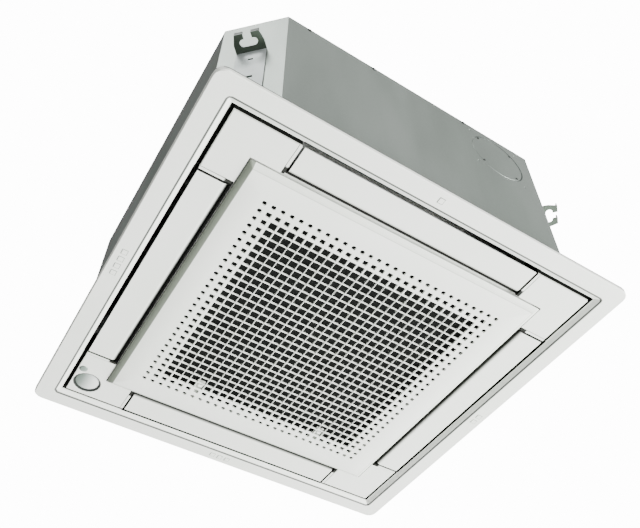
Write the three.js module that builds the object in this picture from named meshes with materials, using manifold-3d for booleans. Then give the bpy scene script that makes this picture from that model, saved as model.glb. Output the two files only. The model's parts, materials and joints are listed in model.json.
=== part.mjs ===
// Ceiling cassette air conditioner, compact four-way type, hung above a ceiling panel.
// Units are millimetres, +Z points up, and the ceiling's lower surface is the plane z = 0.
// The origin is the middle of the square ceiling opening, on the fan's axis.
import * as THREE from 'three';
import { mergeVertices } from 'three/addons/utils/BufferGeometryUtils.js';
import Module from 'manifold-3d';

const wasm = await Module();
wasm.setup();

// ---------------------------------------------------------------- driving dimensions

const GAP = 0.3;                  // clearance between pieces that sit on each other
const SIDES = 4;                  // outlets, flaps, corners and hangers around the unit

const casing = {
  half: 287.5,                    // half of the square body, 575 across
  cornerCut: 66.8,                // how far the cut corners take back each side in all
  wall: 1.2,
  bottom: 35,
  top: 295,
  flangeWidth: 12,
  screwTab: 38,                   // width of the tabs that take the panel screws
};
const topPlate = { thickness: 1.2, lipDepth: 12, studRadius: 3, studRing: 78, studNut: 6 };
const liner = { thickness: 12, deck: 14, motorHole: 96 };

const hanger = {
  width: 42, thickness: 2, bottom: 58, ear: 196, reach: 28, taperStart: 14, tipWidth: 34,
  slotCentre: 15, slotLength: 25, slotWidth: 10.4, mouthWidth: 11.2, lipHeight: 6,
  upperHole: 7, upperHoleZ: 172, lowerHole: 12, lowerHoleZ: 120,
};

const coil = { outer: 222, thickness: 26, cornerRadius: 62, endInset: 175.5, topClear: 25 };
const header = {
  gasRadius: 8, gasAside: 18, gasDrop: 12, stubRadius: 4, stubZ: 108, stubPitch: 38, stubs: 4,
  liquidRadius: 5, liquidAside: 40, liquidBack: 7, liquidTop: 200, feedRadius: 2, feedZ: 104, feedPitch: 28,
  feeds: 4, bottom: 92,
};
const pipes = { gasRadius: 6.35, liquidRadius: 3.2, wall: 0.9, gasDrop: 28, liquidZ: 118, reach: 34 };
const flareNut = { gasAcross: 26, liquidAcross: 17, length: 20, back: 10 };
const servicePlate = { width: 92, side: 91.5, z0: 92, drainClear: 32, overlap: 9, thickness: 1.2 };

const pan = { top: 84, troughFloor: 60, troughClear: 4, eyeInset: 2 };
const drain = {
  pumpInset: 101.5, housingRadius: 21, housingHeight: 36, wall: 3, neckRadius: 11, intake: 8,
  motorRadius: 24, motorZ: 122, motorTop: 162, postWidth: 40, postDepth: 8, spindle: 2, disc: 2, vane: 2,
  footZ: 66, impellerRadius: 15, riserInset: 41, pipeRadius: 7, pipeWall: 2, bend: 14,
  outletDrop: 63, socketRadius: 13, reach: 30, sumpRadius: 38,
};
const float = {
  insetX: 61.5, insetY: 137.5, stemRadius: 3, radius: 9, height: 14, bottom: 64,
  footThickness: 2, armThickness: 3,
};

const fan = {
  radius: 172, eyeInset: 36, wall: 3, bottom: 58, shroudTop: 100, hubDrop: 81,
  bowlRadius: 80, bowlDepth: 86, bossWall: 10, bossHeight: 22,
  blades: 7, bladeThickness: 5, bladeInset: 68, bladeSweep: 0.62,
};
const mouth = { eyeLap: 8, rimInset: 8, wall: 1.6, top: 64, plateThickness: 1.4, plateClear: 3 };
const motor = { radius: 62, length: 86, lugDrop: 33, lugThickness: 5, lugWidth: 20, shaftRadius: 6 };
const fanNutSize = { across: 21, length: 9 };
const bush = { radius: 9, lugs: 3 };

const panel = {
  half: 310,                      // half of the square trim panel, 620 across
  cornerRadius: 14,
  edgeHeight: 8,                  // the panel's visible edge below the ceiling
  skin: 3,
  rimWidth: 26,                   // flat rim, from the outer edge to the crease
  slopeWidth: 7.5,
  slopeRise: 5.5,
  ductWall: 2.8,
  ductTop: 31,
  rib: 3.5,                       // bar between an outlet and a corner cover
  innerWall: 2,
  throatInset: 23,
  throatWall: 3,
  deckZ: 5,
  deckThickness: 2,
  gapTop: 9,                      // top of the blind gap that runs round the corner covers
  gapWall: 1.2,
};
const face = { z: -5, thickness: 1.8, gap: 6 };   // level of the flaps and corner covers
const cover = { arm: 85.2, width: 44.5, seam: 0.8 };
const flap = { width: 41.5, edgeRadius: 8, skin: 2.4, endGap: 2, web: 4, journal: 2.4, fit: 0.4 };
const stepper = { radius: 10, length: 16, rise: 7, aside: 2, bossRadius: 3.8, journalDepth: 3 };

const grille = {
  clear: 1, slope: 8, faceZ: -11, plate: 2.5, cornerRadius: 3, rimInset: 19, rimWall: 2.4,
  gridInset: 54.5, gridSet: 0.1, cells: 13, bar: 3, ledgeInset: 29, ledgeWall: 3, skirtWall: 3.4,
};
const filter = { clear: 1, thickness: 3, frame: 9, net: 0.8, ribs: 4, ribWidth: 3, lift: 1.2 };
const hinge = { inset: 7, z: -3, pin: 1.6, fit: 0.4, knuckle: 3.2, x: 150, earWidth: 6, lugWidth: 12 };
const latch = {
  column: 4, aside: 4, knobInset: 6.5, knobWidth: 6, knob: 4.5, width: 12, thickness: 2.4,
  guideLength: 24, throw: 7, lift: 3.2, keeperLap: 3, keeperDepth: 4, keeperBar: 2.2, keeperSide: 3,
};

const sensor = {
  insetX: 22, insetY: 27, radius: 18.5, ring: 1.4, fit: 0.4, depth: 16, seat: 6, flange: 3, dome: 3.6,
};
const indicator = { insetX: 7, insetY: 53, radius: 6, dome: 1.4 };
const panelScrew = {
  alongClear: 17, acrossInset: 14.5, shank: 2.1, head: 4.6, headHeight: 2.6, boss: 7.5, seat: 6,
};

const switchBox = { width: 52, halfLength: 130, top: 31, bottom: 8, wall: 1.2, foot: 16 };
const board = {
  thickness: 1.6, standoff: 5, inset: 4, end: 50, leg: 2, parts: 5, partPitch: 29, partHeight: 7,
};
const terminals = { start: 62, poles: 6, pitch: 9, depth: 20, height: 11, base: 3, wall: 1.2 };
const cableBush = { aside: 44, z: 110, radius: 14, bore: 9, lip: 3, thickness: 7 };
const gasket = { width: 7, thickness: 3.2 };

const knockout = { x: 149, drop: 61, radius: 48.5, groove: 1.4, depth: 0.5, holeOffset: 44.5, hole: 1.8 };

const ROUND = 24;                 // facets on large round pieces
const SMALL_ROUND = 12;           // facets on small round pieces
const FINE_ROUND = 8;             // facets on thin rods and screw holes
const SOCKET_ROUND = 20;          // facets on sockets, lenses and whatever fits in them
const SNAP = 512;                 // grid steps per millimetre

// ---------------------------------------------------------------- derived places

casing.chamferPlane = (2 * casing.half - casing.cornerCut) / Math.SQRT2;
coil.top = casing.top - coil.topClear;
coil.end = casing.half - coil.endInset;
header.gasX = coil.end + header.gasAside;
header.liquidX = coil.end + header.liquidAside;
header.y = coil.outer - coil.thickness / 2;
header.liquidY = header.y + header.liquidBack;
fan.eyeRadius = fan.radius - fan.eyeInset;
fan.bladeInner = fan.radius - fan.bladeInset;
mouth.eyeRadius = fan.eyeRadius - mouth.eyeLap;
mouth.rimRadius = fan.radius - mouth.rimInset;
pan.eyeRadius = fan.radius - pan.eyeInset;
header.gasTop = coil.top - header.gasDrop;
motor.lug = casing.top - motor.lugDrop;
motor.bottom = motor.lug - motor.length;
fan.hubZ = casing.top - fan.hubDrop;
fan.bowlFloor = fan.hubZ - fan.bowlDepth;
knockout.z = casing.top - knockout.drop;
drain.outletZ = casing.top - drain.outletDrop;
servicePlate.x1 = casing.half - servicePlate.side;
servicePlate.x0 = servicePlate.x1 - servicePlate.width;
servicePlate.z1 = drain.outletZ - servicePlate.drainClear;
pipes.gasZ = servicePlate.z1 - pipes.gasDrop;
cableBush.x = servicePlate.x0 - cableBush.aside;
drain.pumpX = casing.half - drain.pumpInset;
drain.pumpY = casing.half - drain.pumpInset;
drain.riseY = casing.half - drain.riserInset;
drain.nozzle = drain.riseY - drain.bend - 2 - GAP - drain.pumpY;
float.x = casing.half - float.insetX;
float.y = casing.half - float.insetY;

panel.grooveHalf = panel.half - panel.rimWidth;
panel.slopeHalf = panel.grooveHalf - panel.slopeWidth;
face.outerHalf = panel.slopeHalf - face.gap;
panel.pocketHalf = face.outerHalf + GAP - panel.gapWall;
cover.inner = face.outerHalf - cover.width;
cover.armStart = face.outerHalf - cover.arm;
panel.outletEnd = cover.armStart - cover.seam - panel.rib;
panel.throatHalf = cover.inner - panel.throatInset;
flap.inner = face.outerHalf - flap.width;
flap.halfLength = panel.outletEnd - flap.endGap;
sensor.x = sensor.insetX - face.outerHalf;
sensor.y = face.outerHalf - sensor.insetY;
indicator.x = indicator.insetX - face.outerHalf;
indicator.y = face.outerHalf - indicator.insetY;
panelScrew.along = panel.outletEnd + panelScrew.alongClear;
panelScrew.across = panel.slopeHalf - panelScrew.acrossInset;
mouth.plateHalf = panel.throatHalf - mouth.plateClear;
switchBox.x1 = mouth.plateHalf;
switchBox.x0 = switchBox.x1 - switchBox.width;

grille.baseHalf = cover.inner - grille.clear;
grille.faceHalf = grille.baseHalf - grille.slope;
grille.gridHalf = grille.faceHalf - grille.gridInset;
grille.pitch = 2 * grille.gridHalf / grille.cells;
grille.rimHalf = grille.baseHalf - grille.rimInset;
grille.ledgeHalf = grille.baseHalf - grille.ledgeInset;
filter.half = grille.rimHalf - filter.clear;
hinge.y = hinge.inset - grille.baseHalf;
latch.x = latch.column * grille.pitch + latch.aside;
latch.knobY = grille.gridHalf - latch.knobInset;
latch.reach = grille.rimHalf + latch.throw;
latch.keeperY = latch.reach - latch.keeperLap;
latch.guideY = grille.ledgeHalf - latch.guideLength;

const topUnderside = casing.top - topPlate.thickness;
const linerOuter = casing.wall + GAP + topPlate.thickness + GAP;
const linerInner = linerOuter + liner.thickness;
const panBottom = casing.bottom + casing.wall + GAP;
const coilBottom = pan.troughFloor + GAP;
const outletOuter = casing.half - linerInner - 0.5;
const flapPivotAcross = flap.inner + flap.edgeRadius;
const flapPivotZ = face.z + flap.edgeRadius;
const stepperZ = flapPivotZ + stepper.rise;
const cornerDeckZ = face.z + face.thickness + GAP;
const cornerDeckTop = cornerDeckZ + 1.7;
const rimTop = panel.deckZ - GAP;
const screwSeat = panel.ductTop - panelScrew.seat;
const nozzleZ = drain.footZ + drain.housingHeight - 8;
const grilleBack = grille.faceZ + grille.plate;
const grilleBaseZ = face.z - GAP;
const latchZ = grilleBack + latch.lift;
const latchTop = latchZ + latch.thickness;
const filterZ = latchTop + filter.lift;
const yFace = casing.half;
const gasStart = header.y + header.gasRadius + GAP;
const liquidStart = header.liquidY + header.liquidRadius + GAP;

// ---------------------------------------------------------------- materials

const finish = {
  galvanised: { color: 0xa4aca8, metalness: 0.85, roughness: 0.45 },
  zincBracket: { color: 0xc2c8c9, metalness: 0.8, roughness: 0.4 },
  whiteFoam: { color: 0xe6e7e3, metalness: 0, roughness: 0.9 },
  aluminiumFins: { color: 0xb9bec2, metalness: 0.9, roughness: 0.35 },
  copper: { color: 0xb8704a, metalness: 1, roughness: 0.3 },
  brass: { color: 0xc6a552, metalness: 1, roughness: 0.3 },
  panelWhite: { color: 0xe4e7e1, metalness: 0, roughness: 0.4 },
  darkPlastic: { color: 0x3a403d, metalness: 0, roughness: 0.55 },
  greyPlastic: { color: 0x8f9592, metalness: 0, roughness: 0.5 },
  steel: { color: 0x8d9194, metalness: 1, roughness: 0.35 },
  rubber: { color: 0x1d1e1f, metalness: 0, roughness: 0.85 },
  filterNet: { color: 0x4a4f4d, metalness: 0, roughness: 0.9 },
  circuit: { color: 0x2c6a44, metalness: 0, roughness: 0.5 },
  lens: { color: 0xbfc9c5, metalness: 0.1, roughness: 0.2 },
};

// ---------------------------------------------------------------- shape helpers

const group = new THREE.Group();

// Corners are placed on a fine grid, so faces that are meant to be flush are exactly flush.
function solid(geometry) {
  const plain = geometry.clone();
  plain.deleteAttribute('normal');
  plain.deleteAttribute('uv');
  const corners = plain.attributes.position.array;
  corners.forEach((value, i) => { corners[i] = Math.round(value * SNAP) / SNAP; });
  const merged = mergeVertices(plain, 1e-4);
  const vertProperties = merged.attributes.position.array;
  const triVerts = new Uint32Array(merged.index.array);
  const body = new wasm.Manifold(new wasm.Mesh({ numProp: 3, vertProperties, triVerts }));
  if (body.volume() > 0) return body;
  const facingOut = triVerts.map((vertex, i) => triVerts[i % 3 === 0 ? i + 1 : i % 3 === 1 ? i - 1 : i]);
  return new wasm.Manifold(new wasm.Mesh({ numProp: 3, vertProperties, triVerts: facingOut }));
}

function geometryOf(body) {
  const mesh = body.getMesh();
  const geometry = new THREE.BufferGeometry();
  geometry.setAttribute('position', new THREE.BufferAttribute(mesh.vertProperties, 3));
  geometry.setIndex(new THREE.BufferAttribute(mesh.triVerts, 1));
  return geometry;
}

function cut(body, tools) {
  return tools.reduce((rest, tool) => rest.subtract(tool), body);
}

function join(bodies) {
  return bodies.reduce((whole, body) => whole.add(body));
}

function addPart(name, body, look, angle = 0) {
  const mesh = new THREE.Mesh(geometryOf(body), new THREE.MeshStandardMaterial(finish[look]));
  mesh.name = name;
  mesh.rotation.z = angle;
  group.add(mesh);
}

function box(x0, x1, y0, y1, z0, z1) {
  const geometry = new THREE.BoxGeometry(x1 - x0, y1 - y0, z1 - z0);
  geometry.translate((x0 + x1) / 2, (y0 + y1) / 2, (z0 + z1) / 2);
  return solid(geometry);
}

function prism(shape, z0, z1) {
  const geometry = new THREE.ExtrudeGeometry(shape, {
    depth: z1 - z0, bevelEnabled: false, curveSegments: 5,
  });
  geometry.translate(0, 0, z0);
  return solid(geometry);
}

function rod(x, y, z0, z1, radius, facets = SMALL_ROUND) {
  const geometry = new THREE.CylinderGeometry(radius, radius, z1 - z0, facets);
  geometry.rotateX(Math.PI / 2);
  geometry.translate(x, y, (z0 + z1) / 2);
  return solid(geometry);
}

function rodX(x0, x1, y, z, radius, facets = SMALL_ROUND) {
  const geometry = new THREE.CylinderGeometry(radius, radius, x1 - x0, facets);
  geometry.rotateZ(Math.PI / 2);
  geometry.translate((x0 + x1) / 2, y, z);
  return solid(geometry);
}

function rodY(x, y0, y1, z, radius, facets = SMALL_ROUND) {
  const geometry = new THREE.CylinderGeometry(radius, radius, y1 - y0, facets);
  geometry.translate(x, (y0 + y1) / 2, z);
  return solid(geometry);
}

// A solid of revolution about Z from a closed loop of [radius, z] points, or from axis to axis.
function lathe(points, facets = ROUND) {
  const profile = points.map(([radius, z]) => new THREE.Vector2(radius, z));
  if (points[0][0] > 0) profile.push(profile[0].clone());
  const geometry = new THREE.LatheGeometry(profile, facets);
  geometry.rotateX(Math.PI / 2);
  return solid(geometry);
}

function polygon(points) {
  return new THREE.Shape(points.map(([x, y]) => new THREE.Vector2(x, y)));
}

// An octagon: a square of the given half width with its corners cut at a plane.
function octagon(inset) {
  const half = casing.half - inset;
  const leg = 2 * half - Math.SQRT2 * (casing.chamferPlane - inset);
  const points = [];
  for (let k = 0; k < SIDES; k += 1) {
    const turn = k * Math.PI / 2;
    for (const [x, y] of [[-half + leg, -half], [half - leg, -half]]) {
      points.push([x * Math.cos(turn) - y * Math.sin(turn), x * Math.sin(turn) + y * Math.cos(turn)]);
    }
  }
  return polygon(points);
}

function octagonBand(insetOut, insetIn, z0, z1) {
  return prism(octagon(insetOut), z0, z1).subtract(prism(octagon(insetIn), z0 - 1, z1 + 1));
}

function square(half, z0, z1) {
  return box(-half, half, -half, half, z0, z1);
}

function roundedSquare(half, radius) {
  const shape = new THREE.Shape();
  const flat = half - radius;
  shape.absarc(flat, flat, radius, 0, Math.PI / 2);
  shape.absarc(-flat, flat, radius, Math.PI / 2, Math.PI);
  shape.absarc(-flat, -flat, radius, Math.PI, 1.5 * Math.PI);
  shape.absarc(flat, -flat, radius, 1.5 * Math.PI, 2 * Math.PI);
  return shape;
}

// A square ring whose section is a closed loop of [half width, z] points, mitred at the corners.
function mitredRing(section, radius) {
  const steps = 4;
  const rim = section.map(([half, z]) => {
    const bend = Math.max(radius + half - section[0][0], 0.2);
    const loop = [];
    for (let k = 0; k < SIDES; k += 1) {
      for (let i = 0; i <= steps; i += 1) {
        const angle = (k + i / steps) * Math.PI / 2;
        const [cx, cy] = [[1, 1], [-1, 1], [-1, -1], [1, -1]][k];
        loop.push([
          cx * (half - bend) + bend * Math.cos(angle), cy * (half - bend) + bend * Math.sin(angle), z,
        ]);
      }
    }
    return loop;
  });
  const around = rim[0].length;
  const positions = rim.flat(2);
  const index = [];
  for (let s = 0; s < rim.length; s += 1) {
    const next = (s + 1) % rim.length;
    for (let i = 0; i < around; i += 1) {
      const j = (i + 1) % around;
      const [a, b, c, d] = [s * around + i, s * around + j, next * around + j, next * around + i];
      index.push(a, b, c, a, c, d);
    }
  }
  const geometry = new THREE.BufferGeometry();
  geometry.setAttribute('position', new THREE.Float32BufferAttribute(positions, 3));
  geometry.setIndex(index);
  return solid(geometry);
}

function turned(body, quarterTurns) {
  return body.rotate([0, 0, quarterTurns * 90]);
}

function onEachSide(body) {
  return join([0, 1, 2, 3].map((k) => turned(body, k)));
}

// ---------------------------------------------------------------- casing

function casingShell() {
  const band = octagonBand(0, casing.wall, casing.bottom, topUnderside - GAP);
  const flange = octagonBand(0, casing.flangeWidth, casing.bottom, casing.bottom + casing.wall);
  const tabs = onEachSide(box(
    panelScrew.along - casing.screwTab / 2, panelScrew.along + casing.screwTab / 2,
    -casing.half + casing.wall / 2, -panelScrew.across + casing.screwTab / 3,
    casing.bottom, casing.bottom + casing.wall,
  )).intersect(prism(octagon(casing.wall / 2), casing.bottom - 1, casing.bottom + 2));
  const window = box(
    servicePlate.x0, servicePlate.x1, yFace - 2 * casing.wall, yFace + 1, servicePlate.z0, servicePlate.z1,
  );
  const cableHole = rodY(
    cableBush.x, yFace - 5, yFace + 5, cableBush.z, cableBush.radius + GAP, SOCKET_ROUND,
  );
  const drainHole = rodY(
    drain.pumpX, yFace - 5, yFace + 5, drain.outletZ, drain.socketRadius + GAP, SOCKET_ROUND,
  );
  const screwHoles = onEachSide(rod(
    panelScrew.along, -panelScrew.across, casing.bottom - 1, casing.bottom + 3, panelScrew.shank + GAP,
  ));
  return cut(join([band, flange, tabs]), [window, cableHole, drainHole, screwHoles, ductKnockoutGroove()]);
}

// The pressed circle on the front face that is knocked out to fit a branch duct.
function ductKnockoutGroove() {
  const depth = knockout.depth;
  const outer = rodY(
    knockout.x, -casing.half - 1, -casing.half + depth, knockout.z, knockout.radius, ROUND,
  );
  const inner = rodY(
    knockout.x, -casing.half - 2, -casing.half + depth + 1, knockout.z, knockout.radius - knockout.groove,
    ROUND,
  );
  const holes = [-1, 1].flatMap((sx) => [-1, 1].map((sz) => rodY(
    knockout.x + sx * knockout.holeOffset, -casing.half - 1, -casing.half + depth,
    knockout.z + sz * knockout.holeOffset, knockout.hole, 8,
  )));
  return join([outer.subtract(inner), ...holes]);
}

function topPlateBody() {
  const lid = prism(octagon(0), topUnderside, casing.top);
  const lipOuter = casing.wall + GAP;
  const lip = octagonBand(
    lipOuter, lipOuter + topPlate.thickness, topUnderside - topPlate.lipDepth, casing.top - 0.5,
  );
  const studs = [];
  for (let i = 0; i < bush.lugs; i += 1) {
    const angle = i * 2 * Math.PI / bush.lugs;
    const [x, y] = [topPlate.studRing * Math.cos(angle), topPlate.studRing * Math.sin(angle)];
    studs.push(rod(x, y, motor.lug - topPlate.studNut, casing.top - 0.5, topPlate.studRadius));
    studs.push(rod(x, y, motor.lug - topPlate.studNut, motor.lug - GAP, topPlate.studRadius + 4, 6));
  }
  return join([lid, lip, ...studs]);
}

function linerBody() {
  const deckZ = topUnderside - GAP - liner.deck;
  const wall = octagonBand(linerOuter, linerInner, pan.top + GAP, topUnderside - GAP);
  const deck = prism(octagon(linerOuter), deckZ, topUnderside - GAP);
  const hole = rod(0, 0, deckZ - 1, casing.top, liner.motorHole, ROUND);
  const depth = yFace - linerInner - 2;
  const services = box(
    servicePlate.x0 - 4, servicePlate.x1 + 4, depth, yFace, servicePlate.z0 - 8, servicePlate.z1 + 4,
  );
  const cable = rodY(
    cableBush.x, depth, yFace, cableBush.z, cableBush.radius + cableBush.lip + 1, SOCKET_ROUND,
  );
  const drainHole = rodY(
    drain.pumpX, depth, yFace, drain.outletZ, drain.socketRadius + 1, SOCKET_ROUND,
  );
  return cut(join([wall, deck]), [hole, services, cable, drainHole]);
}

// A bent strap screwed to a cut corner, with a forked ear for the hanging rod.
function hangerBracket() {
  const h = hanger;
  const y0 = -casing.chamferPlane - GAP;
  const strap = box(-h.width / 2, h.width / 2, y0 - h.thickness, y0, h.bottom, h.ear + h.thickness);
  const tip = y0 - h.reach;
  const shoulder = y0 - h.taperStart;
  const ear = prism(polygon([
    [-h.width / 2, y0], [-h.width / 2, shoulder], [-h.tipWidth / 2, tip],
    [h.tipWidth / 2, tip], [h.width / 2, shoulder], [h.width / 2, y0],
  ]), h.ear, h.ear + h.thickness);
  const lips = box(
    -h.tipWidth / 2, h.tipWidth / 2, tip, tip + h.thickness, h.ear, h.ear + h.thickness + h.lipHeight,
  );
  const slot = new THREE.Shape();
  const run = (h.slotLength - h.slotWidth) / 2;
  slot.absarc(run, y0 - h.slotCentre, h.slotWidth / 2, -Math.PI / 2, Math.PI / 2);
  slot.absarc(-run, y0 - h.slotCentre, h.slotWidth / 2, Math.PI / 2, 1.5 * Math.PI);
  const rodSlot = prism(slot, h.ear - 1, h.ear + h.thickness + 1);
  const mouthCut = box(
    -h.mouthWidth / 2, h.mouthWidth / 2, tip - 1, y0 - h.slotCentre, h.ear - 1, h.ear + h.lipHeight + 5,
  );
  const strapHole = (width, height, z) => box(
    -width / 2, width / 2, y0 - 2 * h.thickness, y0 + 1, z - height / 2, z + height / 2,
  );
  const holes = [strapHole(h.upperHole, 4, h.upperHoleZ), strapHole(h.lowerHole, 5, h.lowerHoleZ)];
  return cut(join([strap, ear, lips]), [rodSlot, mouthCut, ...holes]);
}

// ---------------------------------------------------------------- refrigerant side

// The fin block bends round three corners and stops short of the fourth, where its pipes are.
function heatExchanger() {
  const c = coil;
  const inner = c.outer - c.thickness;
  const ring = prism(roundedSquare(c.outer, c.cornerRadius), coilBottom, c.top)
    .subtract(prism(roundedSquare(inner, c.cornerRadius - c.thickness), coilBottom - 1, c.top + 1));
  const openCorner = box(c.end, c.outer + 1, c.end, c.outer + 1, coilBottom - 1, c.top + 1);
  const middle = c.outer - c.thickness / 2;
  const h = header;
  const gasHeader = rod(h.gasX, h.y, h.bottom, h.gasTop, h.gasRadius);
  const liquidHeader = rod(h.liquidX, h.liquidY, h.bottom, h.liquidTop, h.liquidRadius);
  const feedY = h.y + h.gasRadius + h.feedRadius + GAP;
  const stubs = [];
  for (let i = 0; i < h.stubs; i += 1) {
    stubs.push(rodX(c.end - 1, h.gasX, middle, h.stubZ + i * h.stubPitch, h.stubRadius));
  }
  const feeds = [];
  for (let i = 0; i < h.feeds; i += 1) {
    feeds.push(rodX(c.end - 1, h.liquidX, feedY, h.feedZ + i * h.feedPitch, h.feedRadius, FINE_ROUND));
  }
  return join([ring.subtract(openCorner), gasHeader, liquidHeader, ...stubs, ...feeds]);
}

function servicePipe(x, z, radius, start) {
  const end = yFace + pipes.reach;
  const tube = rodY(x, start, end, z, radius);
  return tube.subtract(rodY(x, start + 5, end + 1, z, radius - pipes.wall));
}

function flareNutBody(x, z, radius, across) {
  const end = yFace + pipes.reach - flareNut.back;
  const hex = rodY(x, end - flareNut.length, end, z, across / Math.sqrt(3), 6);
  return hex.subtract(rodY(x, end - flareNut.length - 1, end + 1, z, radius + GAP));
}

function servicePlateBody() {
  const s = servicePlate;
  const plate = box(
    s.x0 - s.overlap, s.x1 + s.overlap, yFace + GAP, yFace + GAP + s.thickness,
    s.z0 - s.overlap, s.z1 + s.overlap,
  );
  return cut(plate, [
    rodY(header.gasX, yFace - 1, yFace + 5, pipes.gasZ, pipes.gasRadius + 0.6),
    rodY(header.liquidX, yFace - 1, yFace + 5, pipes.liquidZ, pipes.liquidRadius + 0.6),
  ]);
}

// ---------------------------------------------------------------- drain side

function drainPan() {
  const block = prism(octagon(casing.wall + GAP), panBottom, pan.top);
  const outlets = onEachSide(box(
    -panel.outletEnd, panel.outletEnd, -outletOuter, -(coil.outer + 10), panBottom - 1, pan.top + 1,
  ));
  const outer = coil.outer + pan.troughClear;
  const inner = coil.outer - coil.thickness - 3;
  const outline = roundedSquare(outer, coil.cornerRadius + pan.troughClear);
  const island = roundedSquare(inner, coil.cornerRadius - coil.thickness);
  const trough = prism(outline, pan.troughFloor, pan.top + 1)
    .subtract(prism(island, pan.troughFloor - 1, pan.top + 2));
  const eye = rod(0, 0, panBottom - 1, pan.top + 1, pan.eyeRadius, ROUND);
  const sump = rod(drain.pumpX, drain.pumpY, pan.troughFloor, pan.top + 1, drain.sumpRadius, ROUND);
  const floatWell = rod(float.x, float.y, pan.troughFloor, pan.top + 1, float.radius + 5);
  return cut(block, [outlets, trough, eye, sump, floatWell]);
}

function drainPump() {
  const d = drain;
  const top = d.footZ + d.housingHeight;
  const hanging = topUnderside - liner.deck - 2 * GAP;
  const housing = rod(d.pumpX, d.pumpY, d.footZ, top, d.housingRadius, ROUND);
  const neck = rod(d.pumpX, d.pumpY, top - 1, d.motorZ + 1, d.neckRadius);
  const body = rod(d.pumpX, d.pumpY, d.motorZ, d.motorTop, d.motorRadius, ROUND);
  const post = box(
    d.pumpX - d.postWidth / 2 - 6, d.pumpX + d.postWidth / 2 - 6,
    d.pumpY - d.postDepth / 2, d.pumpY + d.postDepth / 2, d.motorTop - 1, hanging,
  );
  const nozzle = rodY(d.pumpX, d.pumpY, d.pumpY + d.nozzle, nozzleZ, d.pipeRadius);
  const cavity = rod(d.pumpX, d.pumpY, d.footZ + d.wall, top - d.wall, d.impellerRadius + 2);
  const intake = rod(d.pumpX, d.pumpY, d.footZ - 1, d.footZ + d.wall + 1, d.intake);
  const bore = rodY(
    d.pumpX, d.pumpY + d.neckRadius, d.pumpY + d.nozzle + 1, nozzleZ, d.pipeRadius - d.pipeWall,
  );
  const shaftBore = rod(d.pumpX, d.pumpY, top - d.wall - 1, d.motorTop - 6, d.spindle + 0.6, FINE_ROUND);
  return cut(join([housing, neck, body, post, nozzle]), [cavity, intake, bore, shaftBore]);
}

function pumpImpeller() {
  const d = drain;
  const low = d.footZ + 2 * d.wall + 2;
  const high = d.footZ + d.housingHeight - 2 * d.wall;
  const hub = rod(d.pumpX, d.pumpY, low - 1, d.motorTop - 8, d.spindle, FINE_ROUND);
  const disc = rod(d.pumpX, d.pumpY, high - d.disc, high, d.impellerRadius);
  const vanes = [0, 45, 90, 135].map((degrees) => box(
    1 - d.impellerRadius, d.impellerRadius - 1, -d.vane / 2, d.vane / 2, low, high - d.disc / 2,
  ).rotate([0, 0, degrees]).translate([d.pumpX, d.pumpY, 0]));
  return join([hub, disc, ...vanes]);
}

// The lift pipe runs from the pump's nozzle up to the height of the drain socket and into its bore.
function drainRiser() {
  const d = drain;
  const start = d.pumpY + d.nozzle + GAP;
  const end = yFace - casing.wall + 2;
  const point = (y, z) => new THREE.Vector3(d.pumpX, y, z);
  const route = new THREE.CurvePath();
  route.add(new THREE.LineCurve3(point(start, nozzleZ), point(d.riseY - d.bend, nozzleZ)));
  route.add(new THREE.QuadraticBezierCurve3(
    point(d.riseY - d.bend, nozzleZ), point(d.riseY, nozzleZ), point(d.riseY, nozzleZ + d.bend),
  ));
  route.add(new THREE.LineCurve3(point(d.riseY, nozzleZ + d.bend), point(d.riseY, d.outletZ - d.bend)));
  route.add(new THREE.QuadraticBezierCurve3(
    point(d.riseY, d.outletZ - d.bend), point(d.riseY, d.outletZ), point(d.riseY + d.bend, d.outletZ),
  ));
  route.add(new THREE.LineCurve3(point(d.riseY + d.bend, d.outletZ), point(end, d.outletZ)));
  const section = new THREE.Shape();
  section.absarc(0, 0, d.pipeRadius, 0, 2 * Math.PI);
  return solid(new THREE.ExtrudeGeometry(section, {
    extrudePath: route, steps: 24, bevelEnabled: false, curveSegments: 5,
  }));
}

function drainSocket() {
  const d = drain;
  const inside = yFace - casing.wall - GAP - 2;
  const end = yFace + d.reach;
  const barrel = rodY(d.pumpX, inside, end, d.outletZ, d.socketRadius, SOCKET_ROUND);
  const flange = rodY(
    d.pumpX, yFace + GAP, yFace + GAP + 2.5, d.outletZ, d.socketRadius + 6, SOCKET_ROUND,
  );
  const seat = rodY(
    d.pumpX, inside - 1, yFace - casing.wall + 2 + GAP, d.outletZ, d.pipeRadius + GAP, SOCKET_ROUND,
  );
  const bore = rodY(d.pumpX, inside + 4, end + 1, d.outletZ, d.pipeRadius - d.pipeWall / 2, SOCKET_ROUND);
  return cut(join([barrel, flange]), [seat, bore]);
}

function floatSwitch() {
  const f = float;
  const [armZ, armTop] = [drain.motorZ + 19, drain.motorZ + 19 + f.armThickness];
  const near = drain.pumpX + 14;
  const stem = rod(f.x, f.y, f.bottom, armTop, f.stemRadius);
  const foot = rod(f.x, f.y, f.bottom, f.bottom + f.footThickness, f.stemRadius + 3);
  const arm = box(near, f.x + 5, f.y - 5, f.y + 5, armZ, armTop);
  const reach = box(near, near + 10, f.y - 5, drain.pumpY - 12, armZ, armTop);
  const pumpBody = rod(
    drain.pumpX, drain.pumpY, drain.motorZ - 1, drain.motorTop, drain.motorRadius + GAP, ROUND,
  );
  return join([stem, foot, arm, reach]).subtract(pumpBody);
}

function drainFloat() {
  const f = float;
  const z0 = f.bottom + f.footThickness + GAP;
  const ring = rod(f.x, f.y, z0, z0 + f.height, f.radius, SOCKET_ROUND);
  return ring.subtract(rod(f.x, f.y, z0 - 1, z0 + f.height + 1, f.stemRadius + 0.5));
}

// ---------------------------------------------------------------- air side

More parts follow.
